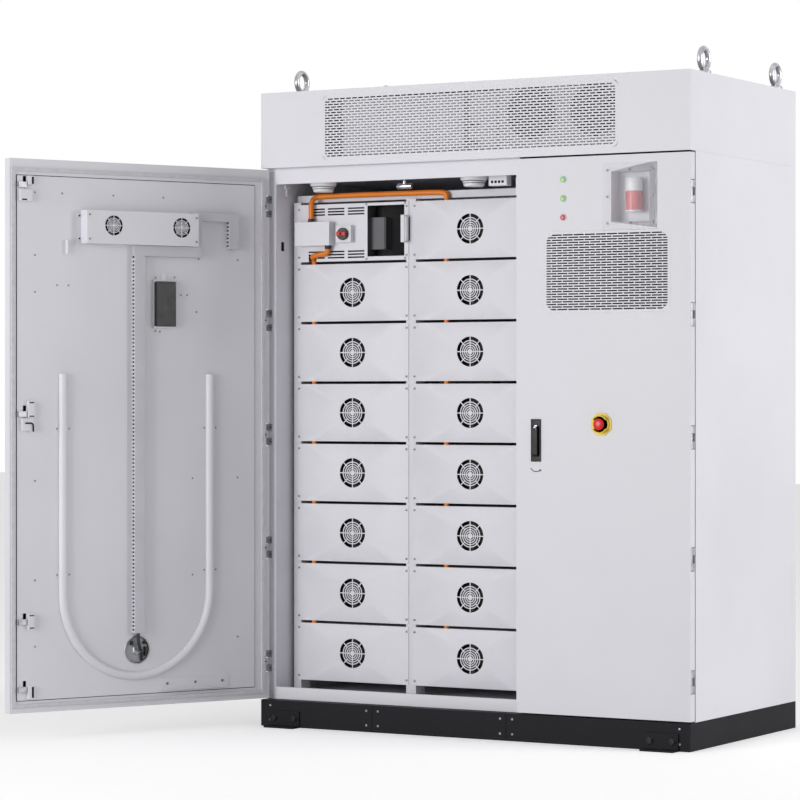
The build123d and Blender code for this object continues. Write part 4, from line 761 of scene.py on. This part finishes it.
def hinge_half(name, knuckles, web_from, flange_to, depth, pin):
    """One hinge half round its own axis, Z up, the door's free edge towards X and the cabinet towards Y."""
    parts = []
    for low, high in knuckles:
        ring = turned("knuckle", ((4.6, low), (5, low + 0.5), (5, high - 0.5), (4.6, high)), steps=32)
        web = block("web", (web_from * mm, (web_from + 2.5) * mm), (0.5 * mm, depth * mm),
                    (low * mm, high * mm))
        flange = block("flange", (web_from * mm, flange_to * mm), ((depth - 2.5) * mm, depth * mm),
                       (low * mm, high * mm))
        parts += [ring, softened(web, 0.3 * mm), softened(flange, 0.5 * mm)]
    if pin:
        parts.append(turned("pin", ((3, -14), (3, 14)), steps=24))
    half = joined(name, *parts)
    half.data.materials.clear()
    half.data.materials.append(hinge_steel)
    return half


frame_half = hinge_half("frame_half", ((-38.5, -13.5), (13.5, 38.5)), -5, 14, 26, True)
door_half = hinge_half("door_half", ((-13, 13),), 2.5, 15, 21.5, False)
left_hinge = Matrix.Translation((-0.850, -0.436, 0))
right_hinge = Matrix.Translation((0.850, -0.436, 0)) @ Matrix.Diagonal((-1, 1, 1, 1))
left_swing = left_hinge @ Matrix.Rotation(math.radians(-116), 4, "Z")
heights = [Matrix.Translation((0, 0, z * mm)) for z in (234, 648, 1059, 1474, 1889)]


def facing_right_way(piece):
    """Turns the faces of a mirrored piece outwards again."""
    piece.data.flip_normals()
    return piece


frame_side = [placed_copy(frame_half, left_hinge @ height) for height in heights]
frame_side += [facing_right_way(placed_copy(frame_half, right_hinge @ height)) for height in heights]
left_side = [placed_copy(door_half, left_swing @ height) for height in heights]
right_side = [facing_right_way(placed_copy(door_half, right_hinge @ height)) for height in heights]
hinge_screw = pan_screw("hinge_screw", 2.6 * mm, 1.2 * mm, screw_black)
outward = [placed_copy(hinge_screw, left_hinge @ height @ Matrix.Translation((8 * mm, 23.5 * mm, z * mm)))
           for height in heights for z in (-26, 26)]
settle(joined("frame_hinge_screws", *outward), "cabinet")
on_flange = Matrix.Translation((10.5 * mm, 21.5 * mm, 0)) @ Matrix.Rotation(math.pi, 4, "Z")
inward = [placed_copy(hinge_screw, left_swing @ height @ on_flange) for height in heights]
settle(joined("left_hinge_screws", *inward), "left_leaf")
bpy.data.objects.remove(hinge_screw)
for name, halves, body, node in (("hinge_frame_side", frame_side, "cabinet", "frame_hinge_leaves"),
                                 ("hinge_left_leaf", left_side, "left_leaf", "left_door_hinge_leaves"),
                                 ("hinge_right_leaf", right_side, "right_leaf", "right_door_hinge_leaves")):
    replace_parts(settle(joined(name, *halves), body), node)
for spare in (frame_half, door_half):
    bpy.data.objects.remove(spare)


# The left door is a folded leaf with a raised inner pan spot-welded to it, powder coated light grey on
# both sides. A thin black line round the pan's edge is painted shade along its step, and a pale foam seal is
# glued to the border.
door_grey = finish("door_grey", (218, 217, 223), (210, 209, 215), 0.5, (0.38, 0.48), 0.0011, 0.00005)
on_left_door = left_swing @ Matrix.Translation((0, -0.018, 0))


def on_door(piece):
    """Swings a piece modelled on the shut left door, X from the hinge and Y into the cabinet, with the door."""
    piece.data.transform(on_left_door)
    return piece


def door_block(name, x, depth, z, material, edge=0.0):
    """A softened box on the shut left door, in mm from the hinge axis and behind the outer face."""
    piece = block(name, [v * mm for v in x], [v * mm for v in depth], [v * mm for v in z], material)
    return softened(piece, edge * mm) if edge else piece


def door_screws(name, radius, head, material, places):
    """Screws on the left door's inner side at (x, depth, z) in mm, all joined."""
    heads = screwed_at(name, radius * mm, head * mm, material,
                       [[v * mm for v in place] for place in places],
                       Matrix.Rotation(math.pi, 4, "Z"))
    settle(on_door(heads), "left_leaf")

door_leaf = merged_copy("left_door", "left_door_leaf", "left_leaf", door_grey, edge=0.0012)
door_leaf.data.materials.append(slot_black)
from_world = on_left_door.inverted()
hole_x, hole_z = 544, 301
for face in door_leaf.data.polygons:
    place = from_world @ face.center
    in_hole = math.hypot(place.x / mm - hole_x, place.z / mm - hole_z) < 50.9 and 33 < place.y / mm < 39.9
    in_lock = 964 < place.x / mm < 996 and 7 < place.y / mm < 39
    if in_hole or in_lock:
        face.material_index = 1
seal_pale = finish("seal_pale", (206, 205, 210), (194, 193, 198), 0.02, (0.75, 0.9), 0.0015, 0.0002)
paint_node(seal_pale, "left_door_seal", "right_door_seal")
edges = [((55.4, 58), (143, 1964.6)), ((1017, 1019.6), (143, 1964.6)), ((58, 1017), (142.4, 145)),
         ((58, 1017), (1962, 1964.6))]
# Black strips round the pan's edge are painted shade where the pan steps up from the border.
pan_shadow_strips = [door_block("pan_shadow_strip", x, (36.9, 37.4), z, slot_black) for x, z in edges]
settle(on_door(joined("pan_edge_painted_shadow", *pan_shadow_strips)), "left_leaf")

# Stud heads, spot welds and small screws show on the pan and on the stay rail at its foot.
studs = [(948, 40, 1905), (842, 40, 1905), (640, 40, 1905), (438, 40, 1905), (948, 40, 1688),
         (862, 40, 1585),
         (818, 40, 1585), (948, 40, 1560), (366, 40, 1560), (340, 40, 1560), (292, 40, 1690),
         (302, 40, 1500),
         (850, 40, 986), (948, 40, 905), (948, 40, 560), (948, 40, 330), (318, 40, 905), (318, 40, 560),
         (430, 40, 232), (640, 40, 232), (130, 40, 905), (130, 40, 1690), (130, 40, 330)]
door_screws("pan_studs", 3.4, 1.3, screw_steel, studs)
door_screws("rail_screws", 5, 2.4, screw_steel, [(x, 42.5, 176) for x in (196, 308, 423)])

# Folded guides hold the latch bar's tongues along the free edge. The lock case between them has a black
# emergency handle bent like a hook, and plates with dark slots stand at the top and bottom.
guides = []
for x, z, rise in (((964, 1010), (1873, 1915), 14), ((956, 979), (1123, 1182), 14),
                   ((956, 979), (390, 445), 14),
                   ((956, 979), (1930, 1962), 10), ((956, 979), (150, 196), 10),
                   ((958, 1002), (1078, 1122), 13)):
    guides.append(door_block("guide", x, (40, 40 + rise), z, door_grey, 1.2))
    guides.append(door_block("guide_foot", (x[0] - 9, x[0] + 2), (40, 41.6), (z[0] + 4, z[1] - 4),
                             door_grey, 0.6))
settle(on_door(joined("latch_guides", *guides)), "left_leaf")
marks = [door_block("guide_slot", x, depth, z, slot_black, 0.3)
         for x, depth, z in (((985, 1004), (53.6, 54.4), (1876, 1881)),
                             ((958, 976), (53.6, 54.4), (1127, 1131)),
                             ((958, 976), (53.6, 54.4), (1174, 1178)),
                             ((958, 976), (53.6, 54.4), (394, 398)),
                             ((958, 976), (53.6, 54.4), (437, 441)),
                             ((957, 965), (49.6, 50.4), (1933, 1958)),
                             ((957, 965), (49.6, 50.4), (154, 192)))]
settle(on_door(joined("guide_slots", *marks)), "left_leaf")
hook = primitive(bpy.ops.mesh.primitive_circle_add, "release_hook", vertices=16, radius=2.6 * mm,
                 location=(992 * mm, 55.5 * mm, 1105 * mm), rotation=(0, math.pi / 2, 0), fill_type="NGON")
bpy.ops.object.mode_set(mode="EDIT")
bpy.ops.mesh.select_all(action="SELECT")
bpy.ops.mesh.extrude_region_move(TRANSFORM_OT_translate={"value": (-20 * mm, 0, 0)})
for step in range(6):
    bpy.ops.mesh.extrude_region_move(TRANSFORM_OT_translate={"value": (0, 0, 0)})
    bpy.ops.transform.rotate(value=math.radians(15), orient_axis="Y",
                             center_override=(972 * mm, 55.5 * mm, 1095 * mm))
bpy.ops.mesh.extrude_region_move(TRANSFORM_OT_translate={"value": (0, 0, -20 * mm)})
bpy.ops.mesh.select_all(action="SELECT")
bpy.ops.mesh.remove_doubles(threshold=0.00001)
bpy.ops.mesh.normals_make_consistent(inside=False)
bpy.ops.object.mode_set(mode="OBJECT")
bpy.ops.object.shade_smooth_by_angle(angle=math.radians(40))
hook.data.materials.append(slot_black)
settle(on_door(hook), "left_leaf")


# The fan box is a folded steel cover screwed to the door's inner face, with two small fans behind round
# ring guards pressed into its front.
fan_cover = block("fan_box_cover", (318 * mm, 768 * mm), (40.1 * mm, 86 * mm), (1732 * mm, 1849 * mm),
                  door_grey)
door_fan_xs, door_fan_z, fan_hole_r = (388, 662), 1797, 37
for x in door_fan_xs:
    cut(fan_cover, primitive(bpy.ops.mesh.primitive_cylinder_add, "fan_hole", vertices=64,
                             radius=fan_hole_r * mm, depth=100 * mm,
                             location=(x * mm, 70 * mm, door_fan_z * mm), rotation=(math.pi / 2, 0, 0)))
fan_cover.data.materials.append(slot_black)
for face in fan_cover.data.polygons:
    if any(math.hypot(face.center.x / mm - x, face.center.z / mm - door_fan_z) < fan_hole_r
           for x in door_fan_xs):
        face.material_index = 1
softened(fan_cover, 1.2 * mm)
settle(on_door(fan_cover), "left_leaf")
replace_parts(fan_cover, "door_fan_box")
guard = fan_guard_plate("fan_box_guard", None, None, rim=58.0)
guard.data.materials.append(door_grey)
only(guard)
bpy.ops.object.shade_smooth_by_angle(angle=math.radians(30))
for number, x in enumerate(door_fan_xs, 1):
    place = Matrix.Translation((x * mm, 86.2 * mm, door_fan_z * mm)) @ Matrix.Rotation(math.pi, 4, "Z")
    twin = placed_copy(guard, on_left_door @ place @ Matrix.Scale(0.655, 4))
    twin.name = f"fan_box_guard_{number}"
    settle(twin, "left_leaf")
    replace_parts(twin, "door_fan_box")
bpy.data.objects.remove(guard)
door_screws("fan_box_screws", 3.6, 1.6, screw_steel,
            [(x, 86, z) for x in (757, 328) for z in (1748, 1833)])
ears = [door_block("box_ear", (768, 782), (40, 41.8), (z - 9, z + 9), door_grey, 0.6) for z in (1750, 1830)]
settle(on_door(joined("fan_box_ears", *ears)), "left_leaf")
door_screws("ear_screws", 3.2, 1.6, screw_black, [(775, 41.8, z) for z in (1750, 1830)])
paint_node(fan_black, "door_fan_1", "door_fan_2")


# The cable ducts are grey plastic channels with finger slots and snap-on lids. The main one rises from
# the cable hole to the fan box, and others lead round the box to the hinge side.
duct_grey = finish("duct_grey", (196, 196, 202), (186, 186, 192), 0.15, (0.45, 0.58), 0.001, 0.00004)


def slotted_duct(name, x, z):
    """An upright duct with fingers on both sides, a dark inside and a lid."""
    core = door_block("duct_core", (x[0] + 2.5, x[1] - 2.5), (40.1, 60.5), (z[0] + 1, z[1] - 1), slot_black)
    base = door_block("duct_base", x, (40.05, 44), z, duct_grey, 0.4)
    lid = door_block("duct_lid", (x[0] - 0.5, x[1] + 0.5), (59.5, 65), z, duct_grey, 0.9)
    count = int((z[1] - z[0]) / 13.7)
    finger = door_block("duct_finger", x, (43.8, 60), (z[0] + 1.5, z[0] + 9.3), duct_grey)
    applied(finger, "ARRAY", count=count, use_relative_offset=False, use_constant_offset=True,
            constant_offset_displace=(0, 0, 13.7 * mm))
    return joined(name, core, base, lid, finger)


plain = [door_block("under_duct", (292, 566), (40.05, 65), (1694, 1731.5), duct_grey, 1.2),
         door_block("side_duct", (292, 317.5), (40.05, 65), (1731, 1855), duct_grey, 1.2),
         door_block("upper_duct", (139, 293), (40.05, 65), (1825, 1855), duct_grey, 1.2),
         door_block("upper_lid", (139, 317), (62, 65.3), (1827, 1853), duct_grey, 0.8),
         door_block("under_lid", (294, 566), (62, 65.3), (1697, 1729), duct_grey, 0.8)]
ducts = joined("cable_ducts", slotted_duct("main_duct", (526, 566), (361, 1695)),
               slotted_duct("short_duct", (139, 179), (1727, 1826)), *plain)
settle(on_door(ducts), "left_leaf")
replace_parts(ducts, "door_cable_duct")

# The cable hole below the main duct holds a steel ring, a bushing with its nut and black cable ends. One
# cable goes up into the duct.
gland = primitive(bpy.ops.mesh.primitive_torus_add, "gland_ring", major_segments=64, minor_segments=12,
                  major_radius=48.6 * mm, minor_radius=2.1 * mm,
                  location=(hole_x * mm, 39 * mm, hole_z * mm),
                  rotation=(math.pi / 2, 0, 0))
bpy.ops.object.shade_smooth_by_angle(angle=math.radians(60))
settle(on_door(gland), "left_leaf", hinge_steel)
bushing = turned("gland_bushing", ((44, 33.4), (45, 34), (45, 35), (34, 36.5), (31, 36), (14, 36)),
                 steps=48,
                 material=equipment_grey)
nut = turned("gland_nut", ((19, 35), (19, 39), (17, 41), (12, 41.4), (10, 38)), steps=6,
             material=hinge_steel)
for part in (bushing, nut):
    part.data.transform(Matrix.Translation((hole_x * mm, 0, hole_z * mm))
                        @ Matrix.Rotation(-math.pi / 2, 4, "X"))
loose_ends = [door_block("cable_end", (x, x + 9), (36, 50), (z, z + length), boot_black, 3)
              for x, z, length in ((508, 278, 34), (523, 262, 30), (512, 320, 12), (563, 318, 16))]
tail = primitive(bpy.ops.mesh.primitive_circle_add, "duct_cable", vertices=16, radius=6 * mm,
                 location=(546 * mm, 52 * mm, 361 * mm), fill_type="NGON")
bpy.ops.object.mode_set(mode="EDIT")
bpy.ops.mesh.select_all(action="SELECT")
for x, y, z in ((0, 0, -20), (-1, 1, -15), (-2, 1, -12), (-4, -2, -10), (-6, -4, -9)):
    bpy.ops.mesh.extrude_region_move(TRANSFORM_OT_translate={"value": (x * mm, y * mm, z * mm)})
bpy.ops.mesh.select_all(action="SELECT")
bpy.ops.mesh.normals_make_consistent(inside=False)
bpy.ops.object.mode_set(mode="OBJECT")
bpy.ops.object.shade_smooth_by_angle(angle=math.radians(50))
tail.data.materials.append(boot_black)
settle(on_door(joined("cable_entry", bushing, nut, tail, *loose_ends)), "left_leaf")


# The U-shaped conduit is a half-round channel, painted with the door and held by saddle clamps on both
# arms. It guides the door's own wiring when the door swings.
bend_r, tube_r, arm_length = 296 * mm, 16 * mm, 771 * mm
bend = primitive(bpy.ops.mesh.primitive_torus_add, "conduit_bend", major_segments=96, minor_segments=32,
                 major_radius=bend_r, minor_radius=tube_r, rotation=(math.pi / 2, 0, 0))
arms = []
for side in (-1, 1):
    arm = primitive(bpy.ops.mesh.primitive_cylinder_add, "conduit_arm", vertices=32, radius=tube_r,
                    depth=arm_length, location=(side * bend_r, 0, arm_length / 2))
    bpy.ops.object.mode_set(mode="EDIT")
    bpy.ops.mesh.select_all(action="DESELECT")
    mesh = bmesh.from_edit_mesh(arm.data)
    for face in mesh.faces:
        face.select_set(len(face.verts) > 4 and face.calc_center_median().z < 0.1)
    bmesh.update_edit_mesh(arm.data)
    bpy.ops.mesh.delete(type="FACE")
    bpy.ops.object.mode_set(mode="OBJECT")
    arms.append(arm)
only(bend)
bpy.ops.object.mode_set(mode="EDIT")
bpy.ops.mesh.select_all(action="SELECT")
bpy.ops.mesh.bisect(plane_co=(0, 0, 0), plane_no=(0, 0, 1), clear_outer=True)
bpy.ops.object.mode_set(mode="OBJECT")
conduit = joined("half_round_conduit", bend, *arms)
bpy.ops.object.mode_set(mode="EDIT")
bpy.ops.mesh.select_all(action="SELECT")
bpy.ops.mesh.bisect(plane_co=(0, 0.0002, 0), plane_no=(0, 1, 0), clear_inner=True)
bpy.ops.mesh.select_all(action="SELECT")
bpy.ops.mesh.remove_doubles(threshold=0.0002)
bpy.ops.mesh.normals_make_consistent(inside=False)
bpy.ops.object.mode_set(mode="OBJECT")
bpy.ops.object.shade_smooth_by_angle(angle=math.radians(40))
conduit.data.materials.append(door_grey)
conduit.data.transform(Matrix.Translation((543 * mm, 40 * mm, 506 * mm)))
settle(on_door(conduit), "left_leaf")
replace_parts(conduit, "door_u_conduit")
saddles = []
arm_xs, saddle_zs = (247, 839), (1085, 576)
for x in arm_xs:
    for z in saddle_zs:
        arch = turned("saddle_arch", ((17.6, z - 7), (18, z - 6.6), (18, z + 6.6), (17.6, z + 7)), steps=40)
        arch.data.transform(Matrix.Translation((x * mm, 40 * mm, 0)))
        only(arch)
        bpy.ops.object.mode_set(mode="EDIT")
        bpy.ops.mesh.select_all(action="SELECT")
        bpy.ops.mesh.bisect(plane_co=(0, 40.2 * mm, 0), plane_no=(0, 1, 0), clear_inner=True)
        bpy.ops.object.mode_set(mode="OBJECT")
        saddles += [arch, door_block("saddle_foot", (x - 30, x + 30), (40, 41.6), (z - 7, z + 7), None,
                                     0.5)]
saddles = joined("conduit_saddles", *saddles)
saddles.data.materials.clear()
settle(on_door(saddles), "left_leaf", door_grey)
door_screws("saddle_screws", 3, 1.8, screw_steel,
            [(x + side * 24, 41.6, z) for x in arm_xs for side in (-1, 1) for z in saddle_zs])


# The control module is a black case in a pale frame, clipped to a bracket on the left door, with a
# hanging tab above. Small screws show above and below it.
module_black = finish("module_black", (20, 20, 22), (12, 12, 14), 0.03, (0.3, 0.42), 0.001, 0.00004)
module = joined("control_module",
                door_block("module_case", (396, 477), (40.1, 60), (1446, 1606), module_black, 2),
                door_block("module_face", (400, 473), (58.5, 60.6), (1450, 1602), module_black, 0.8))
settle(on_door(module), "left_leaf")
frame_parts = [door_block("module_bracket", x, depth, z, detector_white, 0.8)
               for x, depth, z in (((392, 481), (40.05, 50), (1440, 1448)),
                                   ((392, 481), (40.05, 50), (1604, 1612)),
                                   ((392, 397), (40.05, 46), (1440, 1612)),
                                   ((476, 481), (40.05, 46), (1440, 1612)),
                                   ((427.5, 445.5), (40.05, 43), (1610, 1638)))]
bracket = settle(on_door(joined("module_bracket", *frame_parts)), "left_leaf")
door_screws("module_screws", 3.4, 1.8, screw_steel,
            [(x, 40, z) for x, z in ((452, 1428), (470, 1430), (392, 1622), (470, 1620))])
for piece in (module, bracket):
    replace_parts(piece, "door_control_module")


# Both doors have a swing handle: a black lever in a shallow tray, on a spindle whose pinion drives the
# latch bar behind the door's skin. The bars are zinc-plated flats with hooked tongues.
handle_black = finish("handle_black", (16, 16, 19), (10, 10, 12), 0.02, (0.32, 0.45), 0.0009, 0.00004,
                      Specular_IOR_Level=0.25)
for side in ("left", "right"):
    merged_copy(f"{side}_handle_tray", f"{side}_tray", f"{side}_leaf", handle_black,
                edge=0.0006)
    merged_copy(f"{side}_handle_lever", f"{side}_lever", f"{side}_lift", handle_black,
                edge=0.0012, segments=3)
    merged_copy(f"{side}_handle_spindle", f"{side}_spindle", f"{side}_turn", hinge_steel)
    merged_copy(f"{side}_latch_bar", f"{side}_bar", f"{side}_bolt", hinge_steel, edge=0.0005)


# The right door is a folded leaf like the left one. Its vent is a punched sheet like the header's, with
# rounded corners, screwed from behind.
merged_copy("right_door", "right_door_leaf", "right_leaf", door_grey, edge=0.0012)
low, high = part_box("right_door_grille")
vent_x = (low.x + 8 * mm, high.x - 8 * mm)
vent_z = (low.z + 8 * mm, high.z - 8 * mm)
vent_slots = brick_rows("vent_slots", vent_x, vent_z, low.y, 11, 30, 2.1 * mm, 1.5 * mm)
vent_rim = plain_margin("vent_rim", (low.x, high.x, low.z, high.z),
                        (vent_x[0], vent_x[1], vent_z[0], vent_z[1]),
                        (low.y, high.y), 24 * mm)
vent_corners = rounded_corners("vent_corners", vent_x, vent_z, (low.y + 0.05 * mm, low.y + 1.5 * mm), 0.036)
vent = joined("right_door_vent", vent_slots, vent_rim, vent_corners)
settle(vent, "right_leaf", door_grey)
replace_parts(vent, "right_door_grille")


# Three pilot lamps stand in a column on the right door: two green and one red lens in satin bezels.
lamp_green = finish("lamp_green", (172, 226, 142), (150, 214, 122), 0.01, (0.12, 0.22), 0.001, 0.00003)
lamp_red = finish("lamp_red", (224, 96, 106), (210, 76, 88), 0.01, (0.12, 0.22), 0.001, 0.00003)
bezel_pale = finish("bezel_pale", (206, 208, 210), (190, 192, 195), 0.01, (0.25, 0.35), 0.0008, 0.00003)
lamp_pieces = []
for z, tint in ((1813, lamp_red), (1878, lamp_green), (1943.5, lamp_green)):
    face = at_front(1233, z)
    bezel = turned("lamp_bezel", ((10.5, -1), (12, 0.1), (12, 2.2), (11, 3.2), (9.6, 3.4), (9.4, 2.4)),
                   steps=48,
                   material=bezel_pale)
    lens = turned("lamp_lens", ((9.3, 1), (9.3, 4.2), (8.6, 5.8), (6.8, 7), (4.2, 7.7), (1.5, 7.95)),
                  steps=48,
                  material=tint)
    body = turned("lamp_body", ((10.4, 0), (10.4, -20), (9, -22), (9, -46)), steps=32, material=slot_black)
    for part in (bezel, lens, body):
        part.data.transform(face)
    lamp_pieces += [bezel, lens, body]
lamp_pieces = settle(joined("pilot_lamps", *lamp_pieces), "right_leaf")
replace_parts(lamp_pieces, "indicator_lamps")


# The stop button is a red mushroom cap on a steel stem, inside a yellow guard ring, on the right door.
guard_yellow = finish("guard_yellow", (232, 204, 44), (220, 190, 34), 0.02, (0.3, 0.42), 0.001, 0.00004)
cap_red = finish("cap_red", (222, 26, 20), (204, 16, 14), 0.015, (0.24, 0.34), 0.0009, 0.00003)
to_front = at_front(1379.5, 1102)
plate = turned("stop_plate", ((40, 0.02), (41.4, 0.6), (41.4, 2.4), (40, 3)), steps=8,
               material=guard_yellow)
plate.data.transform(Matrix.Rotation(math.radians(22.5), 4, "Z"))
collar = turned("stop_collar", ((29.5, 2.5), (31, 4), (31, 18.5), (30.2, 19.8), (28.2, 20), (27.2, 19),
                                (27, 3)),
                steps=64, material=guard_yellow)
for side in (-1, 1):
    cut(collar, block("notch", sorted((side * 20 * mm, side * 48 * mm)), (-15 * mm, 15 * mm),
                      (8 * mm, 30 * mm)))
softened(plate, 0.8 * mm)
guard_ring = joined("stop_guard", plate, collar)
guard_ring.data.transform(to_front)
settle(guard_ring, "right_leaf")
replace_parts(guard_ring, "estop_guard")
contact = turned("stop_contacts", ((10.6, 0), (10.6, -56), (9, -58)), steps=32, material=slot_black)
contact.data.transform(to_front)
settle(contact, "right_leaf")
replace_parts(contact, "estop_guard")
cap = turned("stop_cap_red", ((10, 12), (14, 14), (19, 18.5), (20, 20.5), (20, 23), (19.4, 25),
                              (17.6, 27.4), (14, 29.3),
                              (9, 30.5), (3, 30.95)), steps=64, material=cap_red)
cap.data.transform(to_front)
settle(cap, "stop_cap")
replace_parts(cap, "estop_cap")
stem = turned("stop_stem_steel", ((8, -25), (8, 11.6), (5, 11.8), (5, 23)), steps=32, material=screw_steel)
stem.data.transform(to_front)
settle(stem, "stop_stem")
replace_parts(stem, "estop_stem")


# The alarm is a beacon with a pale red lens and a white head, sunk in a well in the right door behind a
# clear plate with eight screws.
lens_red = finish("lens_red", (216, 118, 122), (206, 104, 110), 0.03, (0.15, 0.25), 0.002, 0.00005)
beacon_white = finish("beacon_white", (230, 230, 234), (220, 220, 225), 0.03, (0.25, 0.35), 0.001, 0.00003)
axis = Matrix.Translation((left + 1487.5 * mm, front + 32 * mm, 0))
beacon_lens = turned("beacon_lens", ((27, 1828), (28.6, 1829), (28.6, 1897), (27.5, 1898)), steps=56,
                     material=lens_red)
beacon_head = turned("beacon_head", ((28.8, 1897.5), (29.4, 1899), (29.4, 1938), (27.5, 1943),
                                     (24, 1944.4)),
                     steps=56, material=beacon_white)
beacon_foot = turned("beacon_foot", ((29, 1826.6), (29.3, 1828), (29.3, 1832), (28.7, 1832.5)), steps=56,
                     material=beacon_white)
ribs = [turned("lens_rib", ((28.6, z), (29.2, z + 0.8), (29.2, z + 1.6), (28.6, z + 2.4)), steps=56,
               material=lens_red)
        for z in range(1838, 1894, 9)]
for part in (beacon_lens, beacon_head, beacon_foot, *ribs):
    part.data.transform(axis)
beacon_mount = front_block("beacon_mount", (1477.5, 1497.5), (45, 62), (1856, 1914), beacon_white, 1.5)
beacon = settle(joined("alarm_beacon", beacon_lens, beacon_head, beacon_foot, beacon_mount, *ribs),
                "right_leaf")
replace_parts(beacon, "alarm_strobe")
clear_plate = finish("clear_plate", (232, 234, 240), (226, 229, 236), 0.05, (0.04, 0.08), 0.004, 0.00002,
                     Alpha=0.07, IOR=1.58)
merged_copy("alarm_window", "beacon_window", "right_leaf", clear_plate, edge=0.0006)
window_screws = screwed_at("window_screws", 4.2 * mm, 2 * mm, screw_steel,
                           [(left + x * mm, front - 2 * mm, z * mm) for x in (1403, 1487.5, 1572)
                            for z in (1788, 1878.5, 1969) if (x, z) != (1487.5, 1878.5)])
settle(window_screws, "right_leaf")

# Under the right door's handle a small curved arrow shows which way the lever turns.
arrow_outer, arrow_inner = 26 * mm, 23 * mm
arc = primitive(bpy.ops.mesh.primitive_circle_add, "turn_arrow", vertices=48, radius=arrow_outer,
                location=(0, -0.25 * mm, 0), rotation=(math.pi / 2, 0, 0))
bpy.ops.object.mode_set(mode="EDIT")
bpy.ops.mesh.select_mode(type="EDGE")
bpy.ops.mesh.select_all(action="SELECT")
bpy.ops.mesh.extrude_edges_move()
bpy.ops.transform.resize(value=(arrow_inner / arrow_outer,) * 3, center_override=(0, 0, 0))
bpy.ops.mesh.select_all(action="DESELECT")
mesh = bmesh.from_edit_mesh(arc.data)
for face in mesh.faces:
    middle = face.calc_center_median()
    turn = math.degrees(math.atan2(middle.z, middle.x))
    face.select_set(not -150 < turn < -60)
bmesh.update_edit_mesh(arc.data)
bpy.ops.mesh.delete(type="FACE")
bpy.ops.object.mode_set(mode="OBJECT")
tip = primitive(bpy.ops.mesh.primitive_circle_add, "arrow_tip", vertices=3, radius=6 * mm,
                location=(16 * mm, -0.25 * mm, -20 * mm), rotation=(math.pi / 2, math.radians(-40), 0),
                fill_type="NGON")
arrow = joined("turn_arrow", arc, tip)
applied(arrow, "SOLIDIFY", thickness=0.2 * mm, offset=0)
arrow.data.transform(Matrix.Translation((left + 1128 * mm, front, 962 * mm)))
settle(arrow, "right_leaf", handle_black)


# The studio: a pale floor that keeps the cabinet's shadow, an even white surround, and soft lamps at
# the front and right.
bpy.ops.object.select_all(action="DESELECT")
bpy.ops.mesh.primitive_plane_add(size=60)
floor = bpy.context.object
floor.name = "studio_floor"
floor_pale = bpy.data.materials.new("floor_pale")
floor_pale.use_nodes = True
tree = floor_pale.node_tree
shader = tree.nodes["Principled BSDF"]
shader.inputs["Base Color"].default_value = (0.9, 0.9, 0.9, 1)
shader.inputs["Roughness"].default_value = 0.9
rays = tree.nodes.new("ShaderNodeLightPath")
lift = tree.nodes.new("ShaderNodeMath")
lift.operation = "MULTIPLY"
lift.inputs[1].default_value = 0.35
tree.links.new(rays.outputs["Is Camera Ray"], lift.inputs[0])
shader.inputs["Emission Color"].default_value = (1, 1, 1, 1)
tree.links.new(lift.outputs[0], shader.inputs["Emission Strength"])
floor.data.materials.append(floor_pale)

world = bpy.context.scene.world or bpy.data.worlds.new("surround")
bpy.context.scene.world = world
world.use_nodes = True
tree = world.node_tree
tree.nodes.clear()
rays = tree.nodes.new("ShaderNodeLightPath")
seen = tree.nodes.new("ShaderNodeMath")
seen.operation = "MAXIMUM"
direct = tree.nodes.new("ShaderNodeMath")
direct.operation = "MAXIMUM"
level = tree.nodes.new("ShaderNodeMapRange")
level.inputs["To Min"].default_value = 0.38
level.inputs["To Max"].default_value = 1.0
sky = tree.nodes.new("ShaderNodeBackground")
sky.inputs["Color"].default_value = (1, 1, 1, 1)
out = tree.nodes.new("ShaderNodeOutputWorld")
tree.links.new(rays.outputs["Is Glossy Ray"], direct.inputs[0])
tree.links.new(rays.outputs["Is Transmission Ray"], direct.inputs[1])
tree.links.new(rays.outputs["Is Camera Ray"], seen.inputs[0])
tree.links.new(direct.outputs[0], seen.inputs[1])
tree.links.new(seen.outputs[0], level.inputs["Value"])
tree.links.new(level.outputs["Result"], sky.inputs["Strength"])
tree.links.new(sky.outputs["Background"], out.inputs["Surface"])


def lamp(name, place, aim, size, watts):
    """A square soft box at place, turned to aim."""
    bpy.ops.object.light_add(type="AREA", location=place)
    made = bpy.context.object
    made.name = name
    made.data.shape = "SQUARE"
    made.data.size = size
    made.data.energy = watts
    made.rotation_euler = (Vector(aim) - Vector(place)).to_track_quat("-Z", "Y").to_euler()


lamp("soft_box_side", (8.0, 2.0, 2.4), (0.8, 0, 1.1), 3.5, 340)
lamp("soft_box_front", (-2.5, -8.0, 1.9), (0.1, -0.4, 1.1), 3.5, 300)

bpy.ops.object.camera_add(location=(5.23616, -9.97484, 1.19198),
                          rotation=(math.pi / 2, 0, math.radians(30.05)))
camera = bpy.context.object
camera.data.lens = 139.635
camera.data.sensor_width = 36
camera.data.shift_y = -0.0025
bpy.context.scene.camera = camera
bpy.context.scene.view_settings.view_transform = "Standard"
